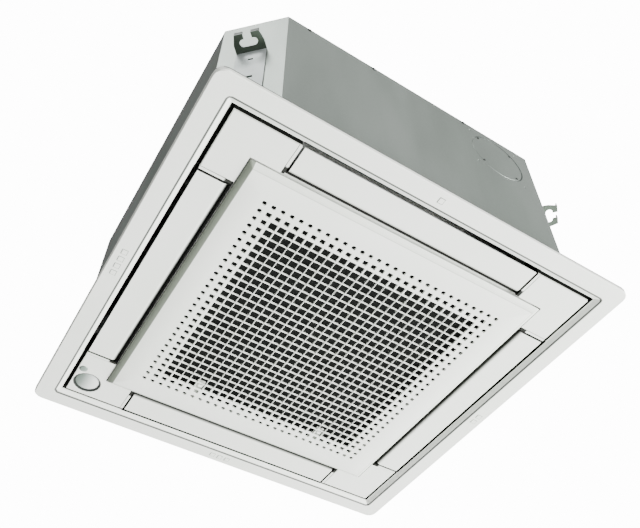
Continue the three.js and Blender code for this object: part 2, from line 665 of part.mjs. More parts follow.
function bellMouth() {
  const m = mouth;
  const plateTop = panBottom - GAP;
  const plateZ = plateTop - m.plateThickness;
  const plate = square(m.plateHalf, plateZ, plateTop);
  const hole = rod(0, 0, plateZ - 1, plateTop + 1, m.rimRadius - 4, ROUND);
  const flare = m.rimRadius - m.eyeRadius;
  const rise = m.top - plateZ;
  const curve = (wall) => {
    const points = [];
    for (let i = 0; i <= 4; i += 1) {
      const angle = i / 4 * Math.PI / 2;
      points.push([m.rimRadius - (flare - wall) * Math.sin(angle), m.top - (rise - wall) * Math.cos(angle)]);
    }
    return points;
  };
  const outside = curve(m.wall);
  const inside = curve(0).reverse();
  return join([plate.subtract(hole), lathe([...outside, ...inside])]);
}

// Fan wheel: a shroud with the inlet eye, a hub plate with a bowl for the motor, and swept blades.
function turboFan() {
  const f = fan;
  const bossRadius = motor.shaftRadius + f.bossWall;
  const shroudCurve = (offset) => [0, 0.25, 0.5, 0.75, 1].map((t) => [
    f.eyeRadius + (f.radius - f.eyeRadius) * t + offset * (1 - t),
    f.bottom + (f.shroudTop - f.bottom) * (t ** 2 * 0.35 + t * 0.65) - offset * t,
  ]);
  const shroud = lathe([...shroudCurve(f.wall), ...shroudCurve(0).reverse()]);
  const bore = motor.shaftRadius + 0.1;
  const hub = lathe([
    [f.radius, f.hubZ], [f.bowlRadius, f.hubZ], [bossRadius + 14, f.bowlFloor + f.wall],
    [bossRadius, f.bowlFloor + f.wall], [bossRadius, f.bowlFloor + f.bossHeight],
    [bore, f.bowlFloor + f.bossHeight], [bore, f.bowlFloor], [bossRadius + 16, f.bowlFloor],
    [f.bowlRadius + 3, f.hubZ - f.wall], [f.radius, f.hubZ - f.wall],
  ]);
  const bladeRoom = lathe([
    [f.bladeInner - 8, f.hubZ - 1], [f.bladeInner - 8, f.bottom + 28], [f.eyeRadius - 2, f.bottom + 14],
    ...shroudCurve(f.wall / 2).slice(1), [f.radius - 1, f.hubZ - 1],
  ]);
  const blades = [];
  for (let i = 0; i < f.blades; i += 1) {
    blades.push(turboBlade(f).rotate([0, 0, i * 360 / f.blades]).intersect(bladeRoom));
  }
  return join([shroud, hub, ...blades]);
}

function turboBlade(f) {
  const outline = (side) => {
    const points = [];
    for (let i = 0; i <= 5; i += 1) {
      const t = i / 5;
      const radius = f.bladeInner + (f.radius - 2 - f.bladeInner) * t;
      const angle = -f.bladeSweep * t ** 0.8;
      const half = f.bladeThickness / 2 * (1 - 0.7 * Math.abs(2 * t - 0.7) ** 2);
      const away = side * Math.max(half, 0.8);
      points.push([
        radius * Math.cos(angle) - away * Math.sin(angle - 0.9),
        radius * Math.sin(angle) + away * Math.cos(angle - 0.9),
      ]);
    }
    return points;
  };
  return prism(polygon([...outline(-1), ...outline(1).reverse()]), f.bottom + 8, f.hubZ - 1);
}

function fanMotor() {
  const m = motor;
  const can = lathe([
    [0, m.bottom], [m.radius - 26, m.bottom], [m.radius - 8, m.bottom + 8], [m.radius - 4, m.bottom + 16],
    [m.radius, m.bottom + 20], [m.radius, m.lug + 10], [m.radius - 8, m.lug + 18], [0, m.lug + 18],
  ]);
  const lugs = [];
  for (let i = 0; i < bush.lugs; i += 1) {
    const angle = i * 360 / bush.lugs;
    const arm = box(
      m.radius - 10, topPlate.studRing + 8, -m.lugWidth / 2, m.lugWidth / 2, m.lug, m.lug + m.lugThickness,
    );
    const hole = rod(topPlate.studRing, 0, m.lug - 1, m.lug + m.lugThickness + 1, topPlate.studRadius + 0.5);
    lugs.push(arm.subtract(hole).rotate([0, 0, angle]));
  }
  const shaftHole = rod(0, 0, m.bottom - 1, m.lug - 12 + GAP, m.shaftRadius + 0.1, ROUND);
  return join([can, ...lugs]).subtract(shaftHole);
}

function motorBush(index) {
  const angle = index * 2 * Math.PI / bush.lugs;
  const [x, y] = [topPlate.studRing * Math.cos(angle), topPlate.studRing * Math.sin(angle)];
  const z0 = motor.lug + motor.lugThickness + GAP;
  const z1 = topUnderside - GAP;
  return rod(x, y, z0, z1, bush.radius).subtract(rod(x, y, z0 - 1, z1 + 1, topPlate.studRadius + GAP));
}

function motorShaft() {
  const collarZ = fan.bowlFloor + fan.bossHeight + GAP;
  return join([
    rod(0, 0, fan.bowlFloor - fanNutSize.length - 5, motor.lug - 12, motor.shaftRadius - GAP, ROUND),
    rod(0, 0, collarZ, collarZ + 4, motor.shaftRadius + 3, ROUND),
  ]);
}

function fanNut() {
  const z1 = fan.bowlFloor - GAP;
  const hex = rod(0, 0, z1 - fanNutSize.length, z1, fanNutSize.across / Math.sqrt(3), 6);
  return hex.subtract(rod(0, 0, z1 - fanNutSize.length - 1, z1 + 1, motor.shaftRadius + 0.1, ROUND));
}

// ---------------------------------------------------------------- electrical side

function switchBoxBody() {
  const s = switchBox;
  const outer = box(s.x0, s.x1, -s.halfLength, s.halfLength, s.bottom, s.top);
  const inner = box(
    s.x0 + s.wall, s.x1 - s.wall, -s.halfLength + s.wall, s.halfLength - s.wall, s.bottom - 1, s.top - s.wall,
  );
  const seat = panBottom - 2 * GAP - mouth.plateThickness;
  const feet = [-1, 1].map((side) => {
    const middle = side * (s.halfLength - s.foot);
    return box(s.x0 + 6, s.x1 - 6, middle - s.foot / 2, middle + s.foot / 2, s.top - 0.5, seat);
  });
  return join([outer.subtract(inner), ...feet]);
}

function switchBoxCover() {
  const s = switchBox;
  const plate = box(s.x0, s.x1, -s.halfLength, s.halfLength, s.bottom - GAP - s.wall, s.bottom - GAP);
  const inside = s.wall + GAP;
  const lip = box(
    s.x0 + inside, s.x1 - inside, -s.halfLength + inside, s.halfLength - inside,
    s.bottom - GAP - 0.5, s.bottom + 3,
  ).subtract(box(
    s.x0 + inside + s.wall, s.x1 - inside - s.wall, -s.halfLength + inside + s.wall,
    s.halfLength - inside - s.wall, s.bottom - GAP - 1, s.bottom + 4,
  ));
  return join([plate, lip]);
}

function controlBoard() {
  const s = switchBox;
  const b = board;
  const ceiling = s.top - s.wall - GAP;
  const z1 = ceiling - b.standoff;
  const x0 = s.x0 + s.wall + b.inset;
  const x1 = s.x1 - s.wall - b.inset;
  const y0 = -s.halfLength + s.wall + b.inset;
  const y1 = b.end;
  const plate = box(x0, x1, y0, y1, z1 - b.thickness, z1);
  const legs = [[x0 + 4, y0 + 4], [x1 - 4, y0 + 4], [x0 + 4, y1 - 4], [x1 - 4, y1 - 4]]
    .map(([x, y]) => rod(x, y, z1 - 0.5, ceiling, b.leg, FINE_ROUND));
  const partZ = z1 - b.thickness - b.partHeight;
  const chips = [];
  for (let i = 0; i < b.parts; i += 1) {
    const y = y0 + b.partPitch * (i + 0.5);
    chips.push(box(
      x0 + 5 + 3 * (i % 2), x1 - 6 - 5 * (i % 3), y, y + b.partPitch / 2,
      partZ + 2 * (i % 2), z1 - b.thickness + 0.5,
    ));
  }
  return join([plate, ...legs, ...chips]);
}

function terminalBlock() {
  const s = switchBox;
  const t = terminals;
  const ceiling = s.top - s.wall - GAP;
  const y0 = t.start;
  const length = t.poles * t.pitch;
  const x = (s.x0 + s.x1) / 2;
  const base = box(x - t.depth / 2, x + t.depth / 2, y0, y0 + length, ceiling - t.base, ceiling);
  const walls = [];
  for (let i = 0; i <= t.poles; i += 1) {
    const y = Math.min(y0 + i * t.pitch, y0 + length - t.wall);
    walls.push(box(
      x - t.depth / 2, x + t.depth / 2, y, y + t.wall, ceiling - t.height, ceiling - t.base + 0.5,
    ));
  }
  return join([base, ...walls]);
}

function cableBushBody() {
  const c = cableBush;
  const y0 = yFace - c.thickness / 2 - casing.wall / 2;
  const y1 = y0 + c.thickness;
  const barrel = rodY(c.x, y0, y1, c.z, c.radius, SOCKET_ROUND);
  const lipOut = rodY(c.x, yFace + GAP, y1, c.z, c.radius + c.lip, SOCKET_ROUND);
  const lipIn = rodY(c.x, y0, yFace - casing.wall - GAP, c.z, c.radius + c.lip, SOCKET_ROUND);
  return join([barrel, lipOut, lipIn]).subtract(rodY(c.x, y0 - 1, y1 + 1, c.z, c.bore, SOCKET_ROUND));
}

// ---------------------------------------------------------------- trim panel

function panelFrame() {
  const p = panel;
  const under = -p.edgeHeight;
  const skinTop = under + p.skin;
  const rim = mitredRing([
    [p.half, 0], [p.half, under + 1.5], [p.half - 1.5, under], [p.grooveHalf, under],
    [p.slopeHalf, under + p.slopeRise], [p.slopeHalf, under + p.slopeRise + p.skin],
    [p.slopeHalf + p.ductWall, under + p.slopeRise + p.skin], [p.grooveHalf + 2, skinTop],
    [p.half - p.skin, skinTop], [p.half - p.skin, 0],
  ], p.cornerRadius);
  const ductOuter = p.slopeHalf + p.ductWall;
  const block = square(ductOuter, cornerDeckZ, p.ductTop);
  const innerWallOut = cover.inner + p.innerWall;
  const throat = square(p.throatHalf, cornerDeckZ - 1, p.ductTop + 1);
  const grilleRoom = square(cover.inner, cornerDeckZ - 1, p.deckZ);
  const outlets = onEachSide(box(
    -p.outletEnd, p.outletEnd, -p.slopeHalf, -innerWallOut, cornerDeckZ - 1, p.ductTop + 1,
  ));
  const wallRelief = onEachSide(box(
    -p.outletEnd, p.outletEnd, -innerWallOut - 1, -cover.inner + 1, cornerDeckZ - 1, 1,
  ));
  const ringPocket = square(cover.inner, p.deckZ + p.deckThickness, p.ductTop + 1)
    .subtract(square(p.throatHalf + p.throatWall, p.deckZ, p.ductTop + 2));
  const ribIn = p.outletEnd + p.rib;
  const gapIn = face.outerHalf + GAP;
  const gapOut = p.slopeHalf - 0.2;
  const pocketOut = p.pocketHalf;
  const cornerPocket = onEachSide(join([
    box(innerWallOut, pocketOut, -pocketOut, -ribIn, cornerDeckTop, p.gapTop + 1),
    box(ribIn, pocketOut, -pocketOut, -innerWallOut, cornerDeckTop, p.gapTop + 1),
    box(innerWallOut, p.slopeHalf, -p.slopeHalf, -ribIn, p.gapTop, p.ductTop + 1),
    box(ribIn, p.slopeHalf, -p.slopeHalf, -innerWallOut, p.gapTop, p.ductTop + 1),
  ]));
  const gapRoof = p.gapTop - p.gapWall;
  const shadowGap = onEachSide(join([
    box(p.outletEnd - 1, gapOut, -gapOut, -gapIn, cornerDeckZ - 1, gapRoof),
    box(-gapOut, -p.outletEnd + 1, -gapOut, -gapIn, cornerDeckZ - 1, gapRoof),
  ]));
  const ribs = onEachSide(join([
    box(p.outletEnd, ribIn, -face.outerHalf, -innerWallOut, face.z, cornerDeckZ + 0.5),
    box(-ribIn, -p.outletEnd, -face.outerHalf, -innerWallOut, face.z, cornerDeckZ + 0.5),
  ]));
  const bosses = onEachSide(rod(
    panelScrew.along, -panelScrew.across, cornerDeckZ, p.ductTop, panelScrew.boss,
  ));
  const boltHoles = onEachSide(join([
    rod(panelScrew.along, -panelScrew.across, cornerDeckZ - 1, screwSeat, panelScrew.head + 0.6),
    rod(panelScrew.along, -panelScrew.across, screwSeat - 1, p.ductTop + 1, panelScrew.shank + GAP),
  ]));
  const journalHoles = onEachSide(rodX(
    -p.outletEnd - p.rib - 1, p.outletEnd + p.rib + 1, -flapPivotAcross, flapPivotZ, flap.journal + flap.fit,
  ));
  const sensorHole = rod(
    sensor.x, sensor.y, cornerDeckZ - 1, cornerDeckTop + 1, sensor.radius + sensor.ring + 2 * sensor.fit,
    SOCKET_ROUND,
  );
  const keepers = [-1, 1].map((side) => latchKeeper(side * latch.x));
  const ears = [-1, 1].flatMap((side) => hingeEars(side * hinge.x));
  const frame = cut(block, [throat, grilleRoom, outlets, wallRelief, ringPocket, cornerPocket, shadowGap]);
  return cut(join([frame, ribs, rim, bosses, ...keepers, ...ears]), [boltHoles, journalHoles, sensorHole]);
}

// A strap under the deck whose bar the latch bolt rests on when the grille is shut.
function latchKeeper(x) {
  const inside = latch.width / 2 + 2;
  const outside = inside + latch.keeperSide;
  const [y0, y1] = [latch.keeperY, latch.keeperY + latch.keeperDepth];
  const barTop = latchZ - GAP;
  return join([
    box(x - outside, x - inside, y0, y1, barTop - latch.keeperBar, panel.deckZ + 0.5),
    box(x + inside, x + outside, y0, y1, barTop - latch.keeperBar, panel.deckZ + 0.5),
    box(x - outside, x + outside, y0, y1, barTop - latch.keeperBar, barTop),
  ]);
}

// Two ears on each side of a grille lug, with a bore for the pin.
function hingeEars(x) {
  const h = hinge;
  return [-1, 1].map((side) => {
    const near = x + side * (h.lugWidth / 2 + GAP);
    const far = near + side * h.earWidth;
    const [x0, x1] = [Math.min(near, far), Math.max(near, far)];
    const knuckle = rodX(x0, x1, h.y, h.z, h.knuckle);
    const web = box(x0, x1, h.y - 0.4, h.y + 7, h.z, panel.deckZ + 0.5);
    return cut(join([knuckle, web]), [rodX(x0 - 1, x1 + 1, h.y, h.z, h.pin + h.fit / 2)]);
  });
}

function hingePin(side) {
  const half = hinge.lugWidth / 2 + GAP + hinge.earWidth + 1;
  return rodX(side * hinge.x - half, side * hinge.x + half, hinge.y, hinge.z, hinge.pin - hinge.fit / 2);
}

function cornerCover(hasSensor) {
  const c = cover;
  const top = face.z + face.thickness;
  const plate = prism(polygon([
    [-face.outerHalf, -face.outerHalf], [-c.armStart, -face.outerHalf], [-c.armStart, -c.inner],
    [-c.inner, -c.inner], [-c.inner, -c.armStart], [-face.outerHalf, -c.armStart],
  ]), face.z, top);
  if (!hasSensor) return plate;
  const lensRoom = rod(
    sensor.x, sensor.y, face.z - 1, top + 1, sensor.radius + sensor.ring + 2 * sensor.fit, SOCKET_ROUND,
  );
  const eyeRoom = rod(indicator.x, indicator.y, face.z - 1, top + 1, indicator.radius + GAP, SOCKET_ROUND);
  return cut(turned(plate, 3), [lensRoom, eyeRoom]);
}

// The flap's section is flat, with a quarter round about its pivot at the inner edge.
function flapBody() {
  const f = flap;
  const across = (radius, steps) => {
    const points = [];
    for (let i = 0; i <= steps; i += 1) {
      const angle = i / steps * Math.PI / 2;
      points.push([flapPivotAcross - radius * Math.sin(angle), flapPivotZ - radius * Math.cos(angle)]);
    }
    return points;
  };
  const outline = [
    [face.outerHalf, face.z], ...across(f.edgeRadius, 5), ...across(f.edgeRadius - f.skin, 5).reverse(),
    [face.outerHalf, face.z + f.skin],
  ];
  const skin = alongSide(polygon(outline), -f.halfLength, f.halfLength);
  const webs = [-1, 1].map((side) => {
    const [x0, x1] = side > 0 ? [f.halfLength - f.web, f.halfLength] : [-f.halfLength, -f.halfLength + f.web];
    return rodX(x0, x1, -flapPivotAcross, flapPivotZ, f.edgeRadius - 0.4, SOCKET_ROUND);
  });
  const drive = panel.outletEnd + panel.rib + GAP + stepper.journalDepth;
  const free = rodX(
    -panel.outletEnd - panel.rib, -f.halfLength + 2, -flapPivotAcross, flapPivotZ, f.journal,
  );
  const driven = rodX(f.halfLength - 2, drive, -flapPivotAcross, flapPivotZ, f.journal);
  return join([skin, ...webs, free, driven]);
}

// Turns an outline of [distance from the middle, z] points into a bar along the front side.
function alongSide(shape, x0, x1) {
  const geometry = new THREE.ExtrudeGeometry(shape, { depth: x1 - x0, bevelEnabled: false });
  geometry.applyMatrix4(new THREE.Matrix4().set(
    0, 0, 1, x0,
    -1, 0, 0, 0,
    0, 1, 0, 0,
    0, 0, 0, 1,
  ));
  return solid(geometry);
}

function flapStepper() {
  const s = stepper;
  const x0 = panel.outletEnd + panel.rib + GAP;
  const across = -flapPivotAcross - s.aside;
  const can = rodX(x0 + 1, x0 + s.length, across, stepperZ, s.radius, SOCKET_ROUND);
  const boss = rodX(x0, x0 + 6, -flapPivotAcross, flapPivotZ, s.bossRadius);
  const ears = box(x0, x0 + 1.2, across - s.radius - 5, across + s.radius, stepperZ - 3, stepperZ + 4);
  const spline = rodX(
    x0 - 1, x0 + s.journalDepth + 1, -flapPivotAcross, flapPivotZ, flap.journal + 0.25,
  );
  const plug = box(
    x0 + 6, x0 + 12, across - 4, across + 4, stepperZ + s.radius - 2, stepperZ + s.radius + 3,
  );
  return join([can, boss, ears, plug]).subtract(spline);
}

function sensorBezel() {
  const s = sensor;
  const inner = s.radius + s.fit;
  const outer = inner + s.ring;
  const ring = rod(s.x, s.y, face.z + 0.5, cornerDeckTop + s.depth, outer, SOCKET_ROUND);
  const disc = rod(
    s.x, s.y, cornerDeckTop + GAP, cornerDeckTop + GAP + 2, outer + s.flange, SOCKET_ROUND,
  );
  const flange = disc.intersect(square(panel.pocketHalf - GAP, cornerDeckTop, cornerDeckTop + 3));
  const bore = rod(s.x, s.y, face.z - 1, cornerDeckTop + s.seat, inner, SOCKET_ROUND);
  return join([ring, flange]).subtract(bore);
}

function sensorLens() {
  const s = sensor;
  const edge = face.z + s.dome;
  const back = cornerDeckTop + s.seat - GAP;
  const points = [[0, back], [s.radius, back], [s.radius, edge]];
  for (let i = 1; i < 5; i += 1) {
    const angle = i / 5 * Math.PI / 2;
    points.push([s.radius * Math.cos(angle), edge - s.dome * Math.sin(angle)]);
  }
  points.push([0, edge - s.dome]);
  return lathe(points, SOCKET_ROUND).translate([s.x, s.y, 0]);
}

function indicatorLens() {
  const d = indicator;
  const top = cornerDeckZ - GAP;
  return lathe([
    [0, top], [d.radius, top], [d.radius, face.z], [d.radius * 0.72, face.z - d.dome * 0.7],
    [0, face.z - d.dome],
  ], SOCKET_ROUND).translate([d.x, d.y, 0]);
}

function panelScrewBody() {
  const s = panelScrew;
  const seat = screwSeat - GAP;
  const head = rod(s.along, -s.across, seat - s.headHeight, seat, s.head);
  const shank = rod(s.along, -s.across, seat - 0.5, casing.bottom + casing.wall + 0.2, s.shank);
  return join([head, shank]);
}

function panelGasket() {
  const z0 = panel.ductTop + GAP;
  const outer = panel.slopeHalf + gasket.width;
  const top = Math.min(z0 + gasket.thickness, casing.bottom - GAP);
  return square(outer, z0, top).subtract(square(panel.slopeHalf, z0 - 1, top + 1));
}

// ---------------------------------------------------------------- suction grille

// The grid is one mesh of bars: odd cells both ways are holes and every other cell is solid.
function grilleLattice() {
  const g = grille;
  const lines = [-g.gridHalf - 1];
  for (let i = 0; i < g.cells; i += 1) {
    const start = -g.gridHalf + i * g.pitch;
    lines.push(start + g.bar / 2, start + g.pitch - g.bar / 2);
  }
  lines.push(g.gridHalf + 1);
  const heights = [g.faceZ + g.gridSet, grilleBack - g.gridSet];
  const last = lines.length - 2;
  const isBar = (i, j) => i >= 0 && j >= 0 && i <= last && j <= last && (i % 2 === 0 || j % 2 === 0);
  const corners = [];
  const quad = (a, b, c, d) => corners.push(...a, ...b, ...c, ...a, ...c, ...d);
  const at = (i, j, level) => [lines[i], lines[j], heights[level]];
  for (let i = 0; i <= last; i += 1) {
    for (let j = 0; j <= last; j += 1) {
      if (!isBar(i, j)) continue;
      quad(at(i, j, 1), at(i + 1, j, 1), at(i + 1, j + 1, 1), at(i, j + 1, 1));
      quad(at(i, j, 0), at(i, j + 1, 0), at(i + 1, j + 1, 0), at(i + 1, j, 0));
      if (!isBar(i, j - 1)) quad(at(i, j, 0), at(i + 1, j, 0), at(i + 1, j, 1), at(i, j, 1));
      if (!isBar(i + 1, j)) quad(at(i + 1, j, 0), at(i + 1, j + 1, 0), at(i + 1, j + 1, 1), at(i + 1, j, 1));
      if (!isBar(i, j + 1)) quad(at(i + 1, j + 1, 0), at(i, j + 1, 0), at(i, j + 1, 1), at(i + 1, j + 1, 1));
      if (!isBar(i - 1, j)) quad(at(i, j + 1, 0), at(i, j, 0), at(i, j, 1), at(i, j + 1, 1));
    }
  }
  const geometry = new THREE.BufferGeometry();
  geometry.setAttribute('position', new THREE.Float32BufferAttribute(corners, 3));
  return solid(geometry);
}

function suctionGrille() {
  const g = grille;
  const skirt = mitredRing([
    [g.baseHalf, grilleBaseZ], [g.faceHalf, g.faceZ], [g.gridHalf, g.faceZ], [g.gridHalf, grilleBack],
    [g.faceHalf - 1.5, grilleBack], [g.baseHalf - g.skirtWall, grilleBaseZ],
  ], g.cornerRadius);
  const rim = square(g.rimHalf + g.rimWall, grilleBack - 0.5, rimTop)
    .subtract(square(g.rimHalf, grilleBack - 2, rimTop + 1));
  const ledge = square(g.ledgeHalf + g.ledgeWall, grilleBack - 0.5, filterZ - GAP)
    .subtract(square(g.ledgeHalf, grilleBack - 2, filterZ + 1));
  const lugs = [-1, 1].map((side) => hingeLug(side * hinge.x));
  const latchRoom = [-1, 1].map((side) => box(
    side * latch.x - latch.width / 2 - 0.6, side * latch.x + latch.width / 2 + 0.6,
    g.ledgeHalf - 5, g.rimHalf + g.rimWall + 1, latchZ - 0.6, latchTop + 0.5,
  ));
  const guides = [-1, 1].map((side) => latchGuide(side * latch.x));
  const earRoom = [-1, 1].flatMap((side) => [-1, 1].map((end) => {
    const middle = side * hinge.x + end * (hinge.lugWidth / 2 + hinge.earWidth / 2 + GAP);
    return rodX(
      middle - hinge.earWidth / 2 - 0.6, middle + hinge.earWidth / 2 + 0.6, hinge.y, hinge.z,
      hinge.knuckle + GAP,
    );
  }));
  const pinRoom = [-1, 1].map((side) => rodX(
    side * hinge.x - hinge.lugWidth, side * hinge.x + hinge.lugWidth, hinge.y, hinge.z,
    hinge.pin + hinge.fit / 2,
  ));
  const whole = join([skirt, grilleLattice(), rim, ledge, ...lugs, ...guides]);
  return cut(whole, [...latchRoom, ...earRoom, ...pinRoom]);
}

function hingeLug(x) {
  const half = hinge.lugWidth / 2 - GAP / 2;
  const knuckle = rodX(x - half, x + half, hinge.y, hinge.z, hinge.knuckle);
  const web = box(x - half, x + half, hinge.y - 1.6, hinge.y + 2.4, grilleBack - 0.5, hinge.z);
  return join([knuckle, web]);
}

// Two low rails that the latch slides between, on the back of the grille.
function latchGuide(x) {
  const inside = latch.width / 2 + 0.5;
  const rails = [-1, 1].map((side) => {
    const [a, b] = [x + side * inside, x + side * (inside + 2)];
    return box(Math.min(a, b), Math.max(a, b), latch.guideY, grille.ledgeHalf, grilleBack - 0.5, latchTop);
  });
  const bed = box(
    x - inside, x + inside, latch.guideY, grille.ledgeHalf, grilleBack - 0.5, latchZ - GAP,
  );
  return join([...rails, bed]);
}

function latchSlider(side) {
  const x = side * latch.x;
  const half = latch.width / 2;
  const bar = box(x - half, x + half, latch.knobY - 6, latch.reach, latchZ, latchTop);
  const knob = box(
    x - latch.knobWidth / 2, x + latch.knobWidth / 2,
    latch.knobY - latch.knob / 2, latch.knobY + latch.knob / 2,
    grille.faceZ + 0.8, latchZ + 0.5,
  );
  return join([bar, knob]);
}

function airFilter() {
  const f = filter;
  const window = f.half - f.frame;
  const frame = square(f.half, filterZ, filterZ + f.thickness)
    .subtract(square(window, filterZ - 1, filterZ + f.thickness + 1));
  const netZ = filterZ + f.thickness - f.net - 0.4;
  const pieces = [frame, square(window + 1, netZ, netZ + f.net)];
  for (let i = 1; i <= f.ribs; i += 1) {
    const at = -window + i * 2 * window / (f.ribs + 1);
    const [low, high] = [at - f.ribWidth / 2, at + f.ribWidth / 2];
    pieces.push(box(low, high, -window - 1, window + 1, filterZ + 0.4, netZ + f.net / 2));
    pieces.push(box(-window - 1, window + 1, low, high, filterZ + 0.4, netZ + f.net / 2));
  }
  return join(pieces);
}

// ---------------------------------------------------------------- assembly

addPart('casing_shell', casingShell(), 'galvanised');
addPart('top_plate', topPlateBody(), 'galvanised');
addPart('foam_liner', linerBody(), 'whiteFoam');
addPart('heat_exchanger', heatExchanger(), 'aluminiumFins');
addPart('gas_pipe', servicePipe(header.gasX, pipes.gasZ, pipes.gasRadius, gasStart), 'copper');
addPart('liquid_pipe', servicePipe(header.liquidX, pipes.liquidZ, pipes.liquidRadius, liquidStart), 'copper');
addPart('gas_flare_nut', flareNutBody(header.gasX, pipes.gasZ, pipes.gasRadius, flareNut.gasAcross), 'brass');
addPart(
  'liquid_flare_nut',
  flareNutBody(header.liquidX, pipes.liquidZ, pipes.liquidRadius, flareNut.liquidAcross),
  'brass',
);
addPart('pipe_cover_plate', servicePlateBody(), 'galvanised');
addPart('drain_pan', drainPan(), 'whiteFoam');
addPart('drain_pump', drainPump(), 'greyPlastic');
addPart('pump_impeller', pumpImpeller(), 'greyPlastic');
addPart('drain_riser', drainRiser(), 'greyPlastic');
addPart('drain_socket', drainSocket(), 'greyPlastic');
addPart('float_switch', floatSwitch(), 'greyPlastic');
addPart('drain_float', drainFloat(), 'whiteFoam');
addPart('bell_mouth', bellMouth(), 'greyPlastic');
addPart('turbo_fan', turboFan(), 'greyPlastic');
addPart('fan_motor', fanMotor(), 'steel');
addPart('motor_shaft', motorShaft(), 'steel');
addPart('fan_nut', fanNut(), 'steel');
for (let i = 0; i < bush.lugs; i += 1) addPart(`motor_bush_${i + 1}`, motorBush(i), 'rubber');
addPart('switch_box', switchBoxBody(), 'galvanised');
addPart('switch_box_cover', switchBoxCover(), 'galvanised');
addPart('control_board', controlBoard(), 'circuit');
addPart('terminal_block', terminalBlock(), 'darkPlastic');
addPart('cable_bush', cableBushBody(), 'rubber');
addPart('panel_gasket', panelGasket(), 'rubber');
addPart('panel_frame', panelFrame(), 'panelWhite');
for (let k = 0; k < SIDES; k += 1) {
  const quarter = k * Math.PI / 2;
  const hasSensor = k === SIDES - 1;
  addPart(`hanger_bracket_${k + 1}`, hangerBracket(), 'zincBracket', quarter - Math.PI / 4);
  addPart(`corner_cover_${k + 1}`, cornerCover(hasSensor), 'panelWhite', hasSensor ? 0 : quarter);
  addPart(`flap_${k + 1}`, flapBody(), 'panelWhite', quarter);
  addPart(`flap_motor_${k + 1}`, flapStepper(), 'darkPlastic', quarter);
  addPart(`panel_screw_${k + 1}`, panelScrewBody(), 'steel', quarter);
}
addPart('sensor_bezel', sensorBezel(), 'darkPlastic');
addPart('sensor_lens', sensorLens(), 'lens');
addPart('indicator_lens', indicatorLens(), 'lens');
addPart('suction_grille', suctionGrille(), 'panelWhite');
addPart('air_filter', airFilter(), 'filterNet');
addPart('grille_latch_1', latchSlider(-1), 'panelWhite');
addPart('grille_latch_2', latchSlider(1), 'panelWhite');
addPart('grille_hinge_pin_1', hingePin(-1), 'steel');
addPart('grille_hinge_pin_2', hingePin(1), 'steel');

export default group;
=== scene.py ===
"""Ceiling cassette air conditioner: the looks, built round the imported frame, in metres."""

import json
import math

import bmesh
import bpy
from mathutils import Matrix, Vector

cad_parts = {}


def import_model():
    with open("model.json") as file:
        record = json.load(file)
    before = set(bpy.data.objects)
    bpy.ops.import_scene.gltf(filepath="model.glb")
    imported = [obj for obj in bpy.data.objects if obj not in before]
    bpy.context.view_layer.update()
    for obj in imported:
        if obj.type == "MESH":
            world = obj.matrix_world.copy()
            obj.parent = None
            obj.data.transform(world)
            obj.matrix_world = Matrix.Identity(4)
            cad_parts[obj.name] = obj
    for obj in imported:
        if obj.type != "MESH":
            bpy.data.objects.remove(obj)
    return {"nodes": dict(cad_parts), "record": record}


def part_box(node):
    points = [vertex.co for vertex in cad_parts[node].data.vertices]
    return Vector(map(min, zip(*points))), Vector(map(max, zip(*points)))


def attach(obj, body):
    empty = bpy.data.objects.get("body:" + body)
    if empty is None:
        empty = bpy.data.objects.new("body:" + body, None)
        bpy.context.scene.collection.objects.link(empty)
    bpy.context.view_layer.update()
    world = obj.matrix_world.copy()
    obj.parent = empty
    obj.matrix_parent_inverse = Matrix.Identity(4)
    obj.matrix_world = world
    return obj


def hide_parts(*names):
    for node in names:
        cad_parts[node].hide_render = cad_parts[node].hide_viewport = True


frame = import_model()
NODES = frame["nodes"]
BODIES = frame["record"]["behaviour"]["bodies"]
BODY_OF = {node: body for body, members in BODIES.items() for node in members}
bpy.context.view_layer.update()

MM = 0.001

# Suction grille
PITCH = 13.0 * MM                # pitch of its openings
CELLS = 29                       # openings along each side
GRID_HALF = CELLS * PITCH / 2
FACE_Z = -11.0 * MM              # its face
FACE_HALF = 217.0 * MM
FOOT_HALF = 224.5 * MM           # the painted shade at the foot of its slopes begins here
PLATE = 2.5 * MM                 # thickness of its perforated plate
OUTER_RING = CELLS // 2          # rings of openings are counted from the middle one
LATCH_RING = -1                  # stands for the two openings that the latch knobs slide in
LATCH_X = 104.0 * MM
LATCH_Y = 156.0 * MM
BAR_INSET = 0.62 * MM            # half a bar between two openings
EDGE_INSETS = {
    OUTER_RING: 4.9 * MM,
    OUTER_RING - 1: 4.05 * MM,
    OUTER_RING - 2: 1.55 * MM,
    LATCH_RING: 0.45 * MM,
}
RIM_BEVEL = 0.2 * MM

# Trim panel, flaps and covers
PANEL_Z = -8.0 * MM              # the panel's lowest face
CREASE = 284.0 * MM              # where the panel starts to slope in to the outlets
CREASE_CORNER = 6.0 * MM
CREASE_WIDTH = 1.9 * MM
RIM = 308.0 * MM                 # the painted shade line at the outer edge begins here
RIM_LINE_Z = -1.9 * MM
GAP_INNER = 269.4 * MM           # the painted shade of the gap round the covers and flaps
GAP_OUTER = 276.8 * MM
GAP_DARK_Z = -2.15 * MM
OUTLET_INNER = 224.25 * MM       # the painted shade of the outlets beside the flaps' inner edges
OUTLET_OUTER = 237.5 * MM
FLAP_HALF = 179.0 * MM
FLAP_TRIM = 1.2 * MM             # how much shorter a flap is drawn at each end
FLAP_ROLL = 233.25 * MM          # the middle of its rolled inner edge
FLAP_END = 177.625 * MM
SLOT_WALL = 181.2 * MM           # the panel's walls beside the flaps' ends
SLOT_INNER = 228.75 * MM
SLOT_DARK_Z = -4.6 * MM
MARK_LINE = 296.5 * MM           # the outlet marks lie on this square
MARK_HALF = 3.4 * MM
MARK_FOOT_HALF = 4.3 * MM

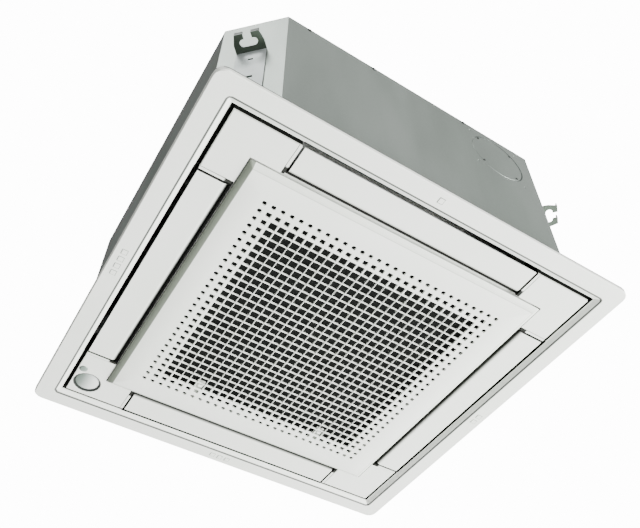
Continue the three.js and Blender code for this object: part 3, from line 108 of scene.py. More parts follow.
# Sensor and lamp
SENSOR = (-248.5 * MM, 243.5 * MM)
LAMP_SHADE = (-262.7 * MM, 217.1 * MM)   # the lamp's painted crescent of shade is round this spot
SENSOR_RISE = 3.6 * MM
LAMP_RISE = 1.4 * MM

# Casing
CASING = 287.5 * MM
CORNER_FACE = 359.05 * MM        # just inside the faces of the cut corners
STRAP_HOLE_Z = (173.2 * MM, 121.5 * MM)  # the painted shade behind each strap's two holes
STRAP_HOLE_HALF_WIDTH = (4.2 * MM, 7.2 * MM)
STRAP_HOLE_HALF_HEIGHT = (4.4 * MM, 4.6 * MM)
KNOCKOUT = Vector((149.0, 0.0, 234.0)) * MM
KNOCKOUT_RADIUS = 48.5 * MM
KNOCKOUT_SCREWS = 44.5 * MM      # radius of the circle that its screws are on
LID_SCREW_X = (-185.6 * MM, -74.7 * MM, 92.9 * MM)
LID_SCREW_Z = 289.5 * MM
EAR_TIP = 535.5 * MM             # |x| + |y| where the painted shade of the bracket ears' lips begins
EAR_LIP_Z = 196.5 * MM

# Smoothing and the camera
SMOOTH_ANGLE = 34.0
CAMERA_AT = Vector((-405.4, -674.4, -796.3)) * MM
CAMERA_AIM = Vector((-43.62, -95.79, -8.0)) * MM
CAMERA_ROLL = math.radians(-0.106)
FLOOR_Z = -2.6


# ------------------------------------------------------------------ materials

def linear(red, green, blue):
    """A colour given from 0 to 255 as the eye sees it, for a shader."""
    parts = [channel / 255.0 for channel in (red, green, blue)]
    return tuple(c / 12.92 if c <= 0.04045 else ((c + 0.055) / 1.055) ** 2.4 for c in parts) + (1.0,)


class Look:
    """A node material that grows from its principled shader.

    A share is a value from 0 to 1 that says how far a tint or finish applies.
    """

    def __init__(self, name, colour, rough, metal=0.0):
        self.material = bpy.data.materials.new(name)
        self.material.use_nodes = True
        self.tree = self.material.node_tree
        self.shader = self.tree.nodes["Principled BSDF"]
        self.shader.inputs["Base Color"].default_value = linear(*colour)
        self.shader.inputs["Roughness"].default_value = rough
        self.shader.inputs["Metallic"].default_value = metal
        self.colour = linear(*colour)
        self.rough = rough
        self.place = self.tree.nodes.new("ShaderNodeTexCoord").outputs["Object"]

    def node(self, kind, **inputs):
        made = self.tree.nodes.new(kind)
        for key, value in inputs.items():
            self.feed(made.inputs[key.replace("_", " ")], value)
        return made

    def feed(self, socket, value):
        if isinstance(value, bpy.types.NodeSocket):
            self.tree.links.new(value, socket)
        else:
            socket.default_value = value

    # Arithmetic

    def calc(self, operation, first, second=0.0):
        made = self.tree.nodes.new("ShaderNodeMath")
        made.operation = operation
        self.feed(made.inputs[0], first)
        self.feed(made.inputs[1], second)
        return made.outputs[0]

    def times(self, *values):
        product = values[0]
        for value in values[1:]:
            product = self.calc("MULTIPLY", product, value)
        return product

    def rest_of(self, share):
        return self.calc("SUBTRACT", 1.0, share)

    def length(self, first, second):
        squares = self.calc("ADD", self.calc("POWER", first, 2.0), self.calc("POWER", second, 2.0))
        return self.calc("SQRT", squares)

    # Places on the object

    def axes(self, vector=None):
        return self.node("ShaderNodeSeparateXYZ", Vector=vector or self.place).outputs

    def distances(self):
        """How far a point is from the middle along X and along Y, either way."""
        parts = self.axes()
        return self.calc("ABSOLUTE", parts[0]), self.calc("ABSOLUTE", parts[1])

    def side_reach(self):
        """How far out a point is, along whichever side it belongs to."""
        return self.calc("MAXIMUM", *self.distances())

    def side_along(self):
        """How far a point is from the middle of its own side."""
        return self.calc("MINIMUM", *self.distances())

    def from_spot(self, spot):
        """How far a point is from an upright line through a spot, seen from below."""
        parts = self.axes()
        return self.length(
            self.calc("SUBTRACT", parts[0], spot[0]),
            self.calc("SUBTRACT", parts[1], spot[1]),
        )

    # Shares

    def ramp(self, value, low, high):
        made = self.tree.nodes.new("ShaderNodeMapRange")
        made.interpolation_type = "SMOOTHSTEP"
        self.feed(made.inputs["Value"], value)
        made.inputs["From Min"].default_value = low
        made.inputs["From Max"].default_value = high
        return made.outputs["Result"]

    def past(self, value, limit, soft=0.1 * MM):
        """A share that turns to 1 as a value passes a limit."""
        return self.ramp(value, limit - soft, limit + soft)

    def short_of(self, value, limit, soft=0.1 * MM):
        return self.rest_of(self.past(value, limit, soft))

    def band(self, value, middle, half, soft=0.1 * MM):
        """A share that is 1 where a value is within half of the middle."""
        off = self.calc("ABSOLUTE", self.calc("SUBTRACT", value, middle))
        return self.short_of(off, half, soft)

    def square_line(self, half, corner, width):
        """A share that is 1 on a rounded square line round the middle, seen from below."""
        wide, deep = self.distances()
        across = self.calc("SUBTRACT", wide, half - corner)
        along = self.calc("SUBTRACT", deep, half - corner)
        outside = self.length(self.calc("MAXIMUM", across, 0.0), self.calc("MAXIMUM", along, 0.0))
        inside = self.calc("MINIMUM", self.calc("MAXIMUM", across, along), 0.0)
        off = self.calc("ABSOLUTE", self.calc("SUBTRACT", self.calc("ADD", outside, inside), corner))
        return self.rest_of(self.ramp(off, width * 0.4, width))

    def noise(self, scale, detail=3.0, stretch=(1.0, 1.0, 1.0)):
        mapped = self.node("ShaderNodeMapping", Vector=self.place, Scale=stretch)
        made = self.node("ShaderNodeTexNoise", Vector=mapped.outputs[0], Scale=scale, Detail=detail)
        return made.outputs["Fac"]

    # Finish

    def tint(self, share, colour):
        """Mixes the base colour so far with another one."""
        made = self.tree.nodes.new("ShaderNodeMix")
        made.data_type = "RGBA"
        self.feed(made.inputs[0], share)
        self.feed(made.inputs[6], self.colour)
        self.feed(made.inputs[7], linear(*colour))
        self.colour = made.outputs[2]
        self.feed(self.shader.inputs["Base Color"], self.colour)

    def dull(self, share):
        """Takes the shine off where the share is 1."""
        shine = self.shader.inputs["Specular IOR Level"]
        earlier = shine.links[0].from_socket if shine.is_linked else shine.default_value
        self.feed(shine, self.times(self.rest_of(share), earlier))

    def darken(self, share, amount, colour):
        """Paints a place that light doesn't reach, and takes its shine off."""
        self.tint(self.times(share, amount), colour)
        self.dull(share)

    def roughen(self, share, swing):
        made = self.calc("MULTIPLY_ADD", share, swing)
        self.feed(made.node.inputs[2], self.rough)
        self.feed(self.shader.inputs["Roughness"], made)

    def grain(self, height, depth, strength=0.4):
        made = self.tree.nodes.new("ShaderNodeBump")
        made.inputs["Strength"].default_value = strength
        made.inputs["Distance"].default_value = depth
        self.feed(made.inputs["Height"], height)
        earlier = self.shader.inputs["Normal"]
        if earlier.is_linked:
            self.feed(made.inputs["Normal"], earlier.links[0].from_socket)
        self.feed(earlier, made.outputs[0])

    def paint_corner_shade(self, distance, colour, amount):
        """Painted shade in the corners that the shape itself makes, found by ambient occlusion."""
        made = self.tree.nodes.new("ShaderNodeAmbientOcclusion")
        made.samples = 6
        made.inputs["Distance"].default_value = distance
        shut = self.rest_of(made.outputs["AO"])
        self.tint(self.times(self.ramp(shut, 0.25, 0.95), amount), colour)

    def worn_edge(self, radius, colour, amount):
        """Edges that handling has rubbed, found from the shape."""
        round_edge = self.node("ShaderNodeBevel", Radius=radius)
        round_edge.samples = 4
        flat = self.tree.nodes.new("ShaderNodeNewGeometry")
        made = self.tree.nodes.new("ShaderNodeVectorMath")
        made.operation = "DOT_PRODUCT"
        self.feed(made.inputs[0], round_edge.outputs[0])
        self.feed(made.inputs[1], flat.outputs["Normal"])
        turned = self.rest_of(made.outputs["Value"])
        patch = self.ramp(self.noise(90.0, 4.0), 0.42, 0.62)
        self.tint(self.times(self.ramp(turned, 0.01, 0.12), patch, amount), colour)


def sheet_metal():
    look = Look("galvanised", (160, 169, 162), 0.36, 0.75)
    look.tint(look.ramp(look.noise(9.0, 3.0, (1.0, 1.0, 0.25)), 0.35, 0.7), (144, 154, 146))
    look.tint(look.times(look.noise(240.0, 2.0), 0.18), (196, 203, 200))
    look.roughen(look.noise(30.0, 3.0, (1.0, 1.0, 0.3)), 0.12)
    look.grain(look.noise(420.0, 2.0), 0.06 * MM)
    # Painted shade in the casing's corners and hollows.
    look.paint_corner_shade(6.0 * MM, (30, 35, 31), 0.85)
    # Painted shade: the casing is dark, dull and barely metallic where it shows through the strap holes.
    holes = strap_hole_shade(look)
    look.tint(holes, (8, 9, 8))
    look.feed(look.shader.inputs["Metallic"], look.times(look.rest_of(holes), 0.75))
    look.dull(holes)
    look.tint(look.times(darker_knockout_ring_top(look), 0.8), (62, 70, 66))
    return look.material


def strap_hole_shade(look):
    """Where the cut corners of the casing get painted shade, behind the two holes of each strap."""
    wide, deep = look.distances()
    height = look.axes()[2]
    aside = look.times(look.calc("SUBTRACT", wide, deep), math.sqrt(0.5))
    out = look.times(look.calc("ADD", wide, deep), math.sqrt(0.5))
    upper, lower = (
        look.times(look.band(aside, 0.0, half_width), look.band(height, middle, half_height))
        for middle, half_width, half_height in zip(
            STRAP_HOLE_Z, STRAP_HOLE_HALF_WIDTH, STRAP_HOLE_HALF_HEIGHT,
        )
    )
    return look.times(look.calc("ADD", upper, lower), look.past(out, CORNER_FACE, 0.15 * MM))


def darker_knockout_ring_top(look):
    """A share that darkens the upper side of the knockout's pressed ring."""
    parts = look.axes()
    off_x = look.calc("SUBTRACT", parts[0], KNOCKOUT.x)
    off_z = look.calc("SUBTRACT", parts[2], KNOCKOUT.z)
    ring = look.band(look.length(off_x, off_z), KNOCKOUT_RADIUS, 1.1 * MM, 0.4 * MM)
    on_side = look.past(look.calc("ABSOLUTE", parts[1]), CASING - 0.6 * MM)
    upper = look.past(look.calc("ADD", off_x, off_z), -5.0 * MM, 15.0 * MM)
    return look.times(ring, on_side, upper)


def bracket_zinc():
    """The hanger brackets, with painted shade under their ears, on their lips and along the straps' sides.
    """
    look = Look("bracket_zinc", (206, 214, 212), 0.42, 0.3)
    look.tint(look.ramp(look.noise(26.0, 3.0), 0.35, 0.7), (188, 198, 194))
    look.worn_edge(0.9 * MM, (214, 220, 219), 0.6)
    normal = look.axes(look.tree.nodes.new("ShaderNodeNewGeometry").outputs["Normal"])
    # Painted shade: faces that look down are darker.
    down = look.times(normal[2], -1.0)
    look.tint(look.ramp(down, 0.45, 0.9), (66, 78, 66))
    parts = look.axes()
    # Painted shade on the lips at the tips of the ears.
    out = look.calc("ADD", *look.distances())
    lip_shade = look.times(look.past(out, EAR_TIP, 0.5 * MM), look.past(parts[2], EAR_LIP_Z, 1.0 * MM))
    look.tint(look.times(lip_shade, 0.9), (40, 48, 41))
    # Painted shade on the sides of the straps.
    turned = look.calc("SUBTRACT", look.times(normal[0], parts[1]), look.times(normal[1], parts[0]))
    strap_side_shade = look.ramp(look.calc("ABSOLUTE", turned), 0.20, 0.32)
    look.tint(look.times(strap_side_shade, 0.85), (54, 62, 56))
    look.roughen(look.noise(60.0), 0.14)
    look.grain(look.noise(300.0, 2.0), 0.05 * MM)
    # Painted shade in the brackets' corners.
    look.paint_corner_shade(10.0 * MM, (70, 80, 70), 0.75)
    return look.material


def panel_white(name="panel_white"):
    look = Look(name, (240, 243, 236), 0.46)
    look.tint(look.ramp(look.noise(5.0, 2.0), 0.3, 0.75), (235, 240, 230))
    look.roughen(look.noise(45.0, 2.0), 0.10)
    look.grain(look.noise(900.0, 2.0), 0.03 * MM, 0.25)
    # Painted shade in the panel's corners and hollows.
    look.paint_corner_shade(7.0 * MM, (96, 108, 96), 0.7)
    look.worn_edge(0.6 * MM, (250, 251, 247), 0.5)
    return look


def grille_white():
    """The grille, with painted shade on the slopes round its face, most on its left side, a painted shade
    line at the edge of its face and dark painted shade at its foot where it meets the panel.
    """
    look = panel_white("panel_white_grille")
    reach = look.side_reach()
    # Painted shade on the slopes round the face.
    slope_shade = look.past(reach, FACE_HALF - 0.1 * MM, 0.3 * MM)
    look.tint(look.times(slope_shade, 0.4), (190, 197, 184))
    # Painted shade, darker still, on the slope of the left side.
    left_side_shade = look.short_of(look.axes()[0], 0.1 * MM - FACE_HALF, 0.3 * MM)
    look.tint(look.times(left_side_shade, 0.92), (98, 107, 92))
    # A painted shade line at the edge of the face.
    edge = look.band(reach, FACE_HALF, 0.525 * MM, 0.275 * MM)
    look.tint(look.times(edge, 0.35), (120, 126, 114))
    # Dark painted shade at the foot, where the grille meets the panel.
    look.tint(look.times(look.past(reach, FOOT_HALF, 0.5 * MM), 0.9), (60, 66, 58))
    return look.material


def shaded_wall():
    """The walls of the grille's openings, with painted shade that darkens them as they fall away into the
    dark behind the plate.
    """
    look = panel_white("panel_white_walls")
    look.tint(look.ramp(look.axes()[2], FACE_Z - 0.6 * MM, FACE_Z + PLATE), (34, 38, 33))
    return look.material


def flap_white():
    """The flaps, with painted shade where their inner edge rolls away into the outlet and at their ends."""
    look = panel_white("panel_white_flap")
    look.darken(look.short_of(look.side_reach(), FLAP_ROLL, 2.25 * MM), 0.97, (10, 12, 9))
    # Painted shade at the flaps' ends, beside the slots.
    end_shade = look.past(look.side_along(), FLAP_END, 0.125 * MM)
    look.tint(look.times(end_shade, 0.95), (18, 21, 17))
    return look.material


def creased_panel():
    """The panel, with painted shade in its outlets, gaps and flap slots, along the top of its rim and in
    its crease.
    """
    look = panel_white("panel_white_creased")
    reach = look.side_reach()
    height = look.axes()[2]
    # Painted shade in the outlets, the gap and the flap slots.
    outlet_shade = look.times(
        look.past(reach, OUTLET_INNER, 0.75 * MM),
        look.short_of(reach, OUTLET_OUTER, 1.5 * MM),
    )
    look.darken(outlet_shade, 0.97, (10, 12, 9))
    within_gap = look.short_of(reach, GAP_OUTER)
    gap_shade = look.times(look.past(reach, GAP_INNER), within_gap, look.past(height, GAP_DARK_Z, 0.55 * MM))
    look.darken(gap_shade, 0.98, (12, 15, 11))
    flap_slot_shade = look.times(
        look.short_of(look.side_along(), SLOT_WALL),
        look.past(reach, SLOT_INNER, 0.25 * MM),
        within_gap,
        look.past(height, SLOT_DARK_Z, 0.3 * MM),
    )
    look.darken(flap_slot_shade, 0.96, (14, 17, 13))
    # A painted shade line along the top of the rim, where it meets the casing.
    rim_shade = look.times(look.past(reach, RIM, 0.5 * MM), look.past(height, RIM_LINE_Z, 0.3 * MM))
    look.tint(look.times(rim_shade, 0.92), (48, 54, 48))
    # A painted shade line in the crease, with a bump.
    crease_shade = look.square_line(CREASE, CREASE_CORNER, CREASE_WIDTH)
    look.tint(look.times(crease_shade, 0.95), (34, 39, 34))
    look.grain(look.times(crease_shade, -1.0), 0.4 * MM, 0.7)
    return look.material


def white_foam():
    look = Look("white_foam", (222, 224, 220), 0.92)
    beads = look.tree.nodes.new("ShaderNodeTexVoronoi")
    look.feed(beads.inputs["Vector"], look.place)
    beads.inputs["Scale"].default_value = 300.0
    look.tint(look.ramp(beads.outputs["Distance"], 0.35, 0.75), (204, 207, 203))
    look.grain(beads.outputs["Distance"], 0.3 * MM, 0.5)
    # Painted shade in the foam's hollows.
    look.paint_corner_shade(30.0 * MM, (118, 122, 118), 0.6)
    return look.material


def finned_coil():
    look = Look("fins", (176, 182, 186), 0.34, 0.8)
    parts = look.axes()
    # Dark stripes: painted shade in the gaps between the fins, with bumps.
    fins = look.calc("SINE", look.times(look.calc("ADD", parts[0], parts[1]), 2800.0))
    look.tint(look.ramp(fins, -0.4, 0.8), (70, 74, 78))
    look.grain(fins, 0.6 * MM, 0.8)
    return look.material


def copper_pipe():
    look = Look("copper_pipe", (196, 126, 92), 0.28, 1.0)
    look.tint(look.ramp(look.noise(70.0, 4.0), 0.45, 0.72), (150, 88, 62))
    look.roughen(look.noise(110.0), 0.2)
    return look.material


def brass():
    look = Look("brass", (205, 178, 104), 0.30, 1.0)
    look.tint(look.ramp(look.noise(80.0), 0.45, 0.75), (176, 146, 78))
    look.roughen(look.noise(140.0), 0.15)
    look.worn_edge(0.7 * MM, (226, 206, 150), 0.6)
    return look.material


def moulded(name, colour, deeper, rough=0.5):
    look = Look(name, colour, rough)
    look.tint(look.ramp(look.noise(22.0, 3.0), 0.35, 0.75), deeper)
    look.roughen(look.noise(80.0, 2.0), 0.12)
    look.grain(look.noise(700.0, 2.0), 0.05 * MM, 0.35)
    # Painted shade in the moulding's corners.
    look.paint_corner_shade(10.0 * MM, tuple(int(c * 0.55) for c in deeper), 0.5)
    return look.material


def steel():
    look = Look("steel", (150, 154, 157), 0.33, 0.9)
    look.tint(look.ramp(look.noise(50.0, 4.0), 0.4, 0.75), (124, 128, 130))
    look.roughen(look.noise(160.0), 0.2)
    look.worn_edge(0.6 * MM, (206, 210, 212), 0.5)
    return look.material


def net():
    look = Look("filter_net", (4, 6, 5), 0.9)
    look.shader.inputs["Specular IOR Level"].default_value = 0.2
    parts = look.axes()
    threads = (look.calc("SINE", look.times(parts[axis], 4200.0)) for axis in (0, 1))
    weave = look.calc("MAXIMUM", *threads)
    look.tint(look.ramp(weave, 0.2, 0.9), (14, 17, 15))
    look.grain(weave, 0.2 * MM, 0.6)
    return look.material


def lens():
    """The sensor's and the lamp's lenses, with a painted highlight towards their right side and painted
    shade in a line at each one's edge.
    """
    look = Look("lens", (126, 142, 132), 0.16)
    # Painted highlight: the lens grows lighter towards the right.
    look.tint(look.ramp(look.axes()[0], -262.0 * MM, -236.0 * MM), (236, 240, 237))
    # A painted shade line round the sensor lens's edge.
    off = look.from_spot(SENSOR)
    ring = look.times(look.past(off, 17.45 * MM, 0.65 * MM), look.short_of(off, 18.8 * MM))
    look.tint(look.times(ring, 0.85), (40, 48, 42))
    # A painted crescent of shade round the lamp.
    off = look.from_spot(LAMP_SHADE)
    crescent_shade = look.times(look.past(off, 5.45 * MM, 0.55 * MM), look.short_of(off, 7.3 * MM))
    look.tint(look.times(crescent_shade, 0.8), (58, 66, 60))
    look.shader.inputs["Transmission Weight"].default_value = 0.15
    look.shader.inputs["Coat Weight"].default_value = 0.6
    look.shader.inputs["Coat Roughness"].default_value = 0.05
    look.roughen(look.noise(60.0), 0.05)
    return look.material


FINISHES = {
    "galvanised": sheet_metal(),
    "bracket_zinc": bracket_zinc(),
    "panel_white": panel_white().material,
    "white_foam": white_foam(),
    "fins": finned_coil(),
    "copper_pipe": copper_pipe(),
    "brass": brass(),
    "dark_plastic": moulded("dark_plastic", (50, 56, 52), (40, 45, 42)),
    "grey_plastic": moulded("grey_plastic", (132, 140, 136), (116, 124, 120)),
    "rubber": moulded("rubber", (34, 36, 35), (24, 25, 25), 0.78),
    "circuit": moulded("circuit", (44, 104, 70), (34, 84, 56), 0.45),
    "steel": steel(),
    "filter_net": net(),
    "lens": lens(),
}
CREASED = creased_panel()
FLAP = flap_white()
SCREW = moulded("screw_steel", (44, 49, 46), (34, 38, 36), 0.75)
# A grey block that paints a shadow line round each outlet mark.
MARK_SHADOW = moulded("panel_mark_shadow", (150, 158, 148), (128, 136, 126), 0.6)

SLOT_OF = {
    "casing_shell": "galvanised", "top_plate": "galvanised", "pipe_cover_plate": "galvanised",
    "switch_box": "galvanised", "switch_box_cover": "galvanised", "foam_liner": "white_foam",
    "drain_pan": "white_foam", "drain_float": "white_foam", "heat_exchanger": "fins",
    "gas_pipe": "copper_pipe", "liquid_pipe": "copper_pipe", "gas_flare_nut": "brass",
    "liquid_flare_nut": "brass", "drain_pump": "grey_plastic", "pump_impeller": "grey_plastic",
    "drain_riser": "grey_plastic", "drain_socket": "grey_plastic", "float_switch": "grey_plastic",
    "bell_mouth": "grey_plastic", "turbo_fan": "grey_plastic", "fan_motor": "steel",
    "motor_shaft": "steel", "fan_nut": "steel", "control_board": "circuit",
    "terminal_block": "dark_plastic", "cable_bush": "rubber", "panel_gasket": "rubber",
    "panel_frame": "panel_white", "suction_grille": "panel_white", "air_filter": "filter_net",
    "sensor_bezel": "dark_plastic", "sensor_lens": "lens", "indicator_lens": "lens",
}
SLOT_STARTS = {
    "motor_bush": "rubber", "hanger_bracket": "bracket_zinc", "corner_cover": "panel_white",
    "flap_motor": "dark_plastic", "flap": "panel_white", "panel_screw": "steel",
    "grille_latch": "panel_white", "grille_hinge_pin": "steel",
}


def named_like(node, exact, starts):
    """What a node's whole name has in one list, or else the start of its name in another."""
    if node in exact:
        return exact[node]
    return next(value for start, value in starts.items() if node.startswith(start))


def slot_of(node):
    return named_like(node, SLOT_OF, SLOT_STARTS)


# ------------------------------------------------------------------ shape helpers

def as_mesh(node):
    """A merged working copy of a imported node, with its flat faces whole."""
    work = bmesh.new()
    work.from_mesh(NODES[node].data)
    bmesh.ops.remove_doubles(work, verts=work.verts, dist=0.02 * MM)
    bmesh.ops.dissolve_limit(
        work, angle_limit=math.radians(0.6), verts=work.verts, edges=work.edges,
    )
    bmesh.ops.recalc_face_normals(work, faces=work.faces)
    return work


def soften(work, width, least=28.0):
    """Rounds every edge that turns more than the given angle."""
    limit = math.radians(least)
    sharp = [
        edge for edge in work.edges
        if len(edge.link_faces) == 2 and edge.calc_face_angle(0.0) > limit
    ]
    bmesh.ops.bevel(
        work, geom=sharp, offset=width, offset_type="OFFSET", segments=2, profile=0.5,
        affect="EDGES", clamp_overlap=True, material=-1,
    )


def piece_from(work, name, body, slot, material=None, smooth=SMOOTH_ANGLE):
    """Turns a finished working mesh into a piece that rides on a body."""
    mesh = bpy.data.meshes.new(name)
    work.to_mesh(mesh)
    work.free()
    mesh.shade_smooth()
    mesh.set_sharp_from_angle(angle=math.radians(smooth))
    made = bpy.data.objects.new(name, mesh)
    bpy.context.scene.collection.objects.link(made)
    mesh.materials.clear()
    mesh.materials.append(material or FINISHES[slot])
    flat = made.modifiers.new("flat_faces", "WEIGHTED_NORMAL")
    flat.keep_sharp = True
    flat.weight = 100
    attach(made, body)
    return made


def shorten_flap(work):
    """Draws both ends of a flap in, so that the slots beside them show."""
    for vert in work.verts:
        for axis in (0, 1):
            if abs(abs(vert.co[axis]) - FLAP_HALF) < 0.6 * MM:
                vert.co[axis] -= math.copysign(FLAP_TRIM, vert.co[axis])


def dress(node, width, material=None):
    """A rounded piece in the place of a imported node."""
    work = as_mesh(node)
    if material is FLAP:
        shorten_flap(work)
    soften(work, width)
    made = piece_from(work, node + "_finished", BODY_OF[node], slot_of(node), material)
    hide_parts(node)


def lathe(work, outline, middle, steps):
    """Spins an outline of (radius, z) points about an upright line through middle."""
    points = [work.verts.new((middle[0] + r, middle[1], z)) for r, z in outline]
    rail = [work.edges.new(pair) for pair in zip(points, points[1:])]
    bmesh.ops.spin(
        work, geom=points + rail, cent=(middle[0], middle[1], 0.0), axis=(0.0, 0.0, 1.0),
        angle=2 * math.pi, steps=steps, use_merge=True,
    )
    bmesh.ops.remove_doubles(work, verts=work.verts, dist=0.005 * MM)
    bmesh.ops.recalc_face_normals(work, faces=work.faces)


def block(work, low, high, round_edge):
    """A box between two corners, with its edges rounded."""
    size = Vector(high) - Vector(low)
    middle = (Vector(high) + Vector(low)) / 2
    place = Matrix.Translation(middle) @ Matrix.Diagonal((*size, 1.0))
    made = bmesh.ops.create_cube(work, size=1.0, matrix=place)
    edges = list({edge for vert in made["verts"] for edge in vert.link_edges})
    bmesh.ops.bevel(
        work, geom=edges, offset=round_edge, segments=2, profile=0.5,
        affect="EDGES", clamp_overlap=True, material=-1,
    )


# ------------------------------------------------------------------ suction grille

def cell_ring(face):
    """Which ring of openings a cell of the grille belongs to."""
    spot = face.calc_center_median()
    return max(abs(round(spot.x / PITCH)), abs(round(spot.y / PITCH)))


def latch_cell(face):
    spot = face.calc_center_median()
    return abs(abs(spot.x) - LATCH_X) < PITCH / 2 and abs(spot.y - LATCH_Y) < PITCH / 2


def is_opening(face):
    """True for the face left in the middle of a cell."""
    spot = face.calc_center_median()
    off_x = abs(spot.x - round(spot.x / PITCH) * PITCH)
    off_y = abs(spot.y - round(spot.y / PITCH) * PITCH)
    return off_x < 0.2 * MM and off_y < 0.2 * MM


def in_grid(spot):
    return max(abs(spot.x), abs(spot.y)) < GRID_HALF - 0.1 * MM


def open_cells(flat):
    """Cuts an opening in each cell: small dots in the outer rings, wide squares inside."""
    rings = {}
    for face in list(flat.faces):
        rings.setdefault(LATCH_RING if latch_cell(face) else cell_ring(face), []).append(face)
    holes = []
    for ring, faces in rings.items():
        inset = EDGE_INSETS.get(ring, BAR_INSET)
        bmesh.ops.inset_individual(flat, faces=faces, thickness=inset, depth=0.0)
        holes.extend(faces)
    for face in [hole for hole in holes if cell_ring(hole) >= OUTER_RING - 1]:
        roundness = 0.30 if cell_ring(face) == OUTER_RING else 0.12
        bmesh.ops.bevel(
            flat, geom=list(face.verts), offset=face.edges[0].calc_length() * roundness, segments=2,
            profile=0.5, affect="VERTICES", clamp_overlap=False, material=-1,
        )
    open_faces = [face for face in flat.faces if face.calc_area() > 1e-9 and is_opening(face)]
    bmesh.ops.delete(flat, geom=open_faces, context="FACES")


def thicken_plate(flat):
    """Gives the flat grid its thickness, with its outer side on the grille's face."""
    bmesh.ops.recalc_face_normals(flat, faces=flat.faces)
    bmesh.ops.reverse_faces(flat, faces=[face for face in flat.faces if face.normal.z > 0])
    bmesh.ops.solidify(flat, geom=flat.faces, thickness=PLATE)
    low = min(vert.co.z for vert in flat.verts)
    bmesh.ops.translate(flat, verts=flat.verts, vec=(0.0, 0.0, FACE_Z - low))
    bmesh.ops.recalc_face_normals(flat, faces=flat.faces)


def round_openings(flat):
    """Gives the walls of the openings their own material, which paints shade on them, and takes the edge
    off their rims.
    """
    for face in flat.faces:
        wall = in_grid(face.calc_center_median()) and abs(face.normal.z) < 0.5
        face.material_index = 1 if wall else 0
    near_face = FACE_Z + 0.1 * MM
    rims = [
        edge for edge in flat.edges
        if len(edge.link_faces) == 2 and edge.calc_face_angle(0.0) > 1.2
        and all(vert.co.z < near_face for vert in edge.verts) and in_grid(edge.verts[0].co)
    ]
    bmesh.ops.bevel(
        flat, geom=rims, offset=RIM_BEVEL, segments=1, profile=0.5, affect="EDGES",
        clamp_overlap=True, material=0,
    )


def grille_plate(work):
    """Adds the perforated plate to a working mesh."""
    flat = bmesh.new()
    bmesh.ops.create_grid(
        flat, x_segments=CELLS, y_segments=CELLS, size=GRID_HALF,
        matrix=Matrix.Translation((0.0, 0.0, FACE_Z)),
    )
    open_cells(flat)
    thicken_plate(flat)
    round_openings(flat)
    mesh = bpy.data.meshes.new("grille_plate_work")
    flat.to_mesh(mesh)
    flat.free()
    work.from_mesh(mesh)
    bpy.data.meshes.remove(mesh)


def suction_grille():
    """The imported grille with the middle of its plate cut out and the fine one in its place."""
    work = as_mesh("suction_grille")
    for axis in (Vector((1, 0, 0)), Vector((0, 1, 0))):
        for side in (-1, 1):
            bmesh.ops.bisect_plane(
                work, geom=list(work.verts) + list(work.edges) + list(work.faces),
                plane_co=axis * side * GRID_HALF, plane_no=axis, dist=1e-6,
            )
    back = FACE_Z + PLATE + 0.05 * MM
    middle = [
        face for face in work.faces
        if all(vert.co.z < back for vert in face.verts)
        and abs(face.calc_center_median().x) < GRID_HALF
        and abs(face.calc_center_median().y) < GRID_HALF
    ]
    bmesh.ops.delete(work, geom=middle, context="FACES")
    soften(work, 0.35 * MM, 40.0)
    grille_plate(work)
    made = piece_from(work, "grille_panel", "grille", "panel_white", grille_white(), 30.0)
    made.data.materials.append(shaded_wall())
    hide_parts("suction_grille")


# ------------------------------------------------------------------ trim panel and its small pieces

def mark_spots():
    """Where the outlet marks are: one to four of them on the four sides of the flange."""
    spots = [(0.0, -MARK_LINE)]
    spots += [(MARK_LINE, side * PITCH / 2) for side in (-1, 1)]
    spots += [(step * PITCH, MARK_LINE) for step in (-1, 0, 1)]
    spots += [(-MARK_LINE, (step - 0.5) * PITCH) for step in (-1, 0, 1, 2)]
    return spots


def mark_blocks(half, below, above, round_edge):
    """A block at each outlet mark, from below the panel's face to above it."""
    work = bmesh.new()
    for x, y in mark_spots():
        low = (x - half, y - half, PANEL_Z - below)
        high = (x + half, y + half, PANEL_Z + above)
        block(work, low, high, round_edge)
    return work


def outlet_marks():
    """Small raised squares that count the outlets, each on a slightly wider grey block that shows round it
    as a painted shadow line.
    """
    marks = mark_blocks(MARK_HALF, 0.7 * MM, 0.4 * MM, 0.25 * MM)
    piece_from(marks, "outlet_marks", "housing", "panel_white")
    # Painted shadow: a wider grey block under each mark.
    shadow_blocks = mark_blocks(MARK_FOOT_HALF, 0.06 * MM, 0.3 * MM, 0.02 * MM)
    piece_from(shadow_blocks, "outlet_mark_shadows", "housing", "panel_white", MARK_SHADOW)


def lens_dome(node, name, rise):
    """A domed lens in the place of a packed flat one."""
    low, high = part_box(node)
    middle = (low + high) / 2
    radius = (high.x - low.x) / 2
    edge = low.z + rise
    work = bmesh.new()
    arc = [
        (radius * math.sin(turn), edge - rise * math.cos(turn))
        for turn in (i * math.pi / 20 for i in range(11))
    ]
    lathe(work, arc + [(radius, high.z), (0.0, high.z)], (middle.x, middle.y), 64)
    made = piece_from(work, name, "housing", "lens", smooth=50.0)
    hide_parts(node)


# ------------------------------------------------------------------ casing details

def pan_head(work, at, radius, out):
    """A screw head that stands out from the casing's y- side, with a sunk middle."""
    made = bmesh.ops.create_cone(
        work, cap_ends=True, segments=20, radius1=radius, radius2=radius * 0.72, depth=out,
        matrix=Matrix.Translation(at) @ Matrix.Rotation(math.radians(90), 4, "X"),
    )
    front = min(
        (face for vert in made["verts"] for face in vert.link_faces),
        key=lambda face: face.calc_center_median().y,
    )
    bmesh.ops.inset_region(work, faces=[front], thickness=radius * 0.34, depth=0.0)
    bmesh.ops.translate(work, verts=list(front.verts), vec=(0.0, out * 0.45, 0.0))


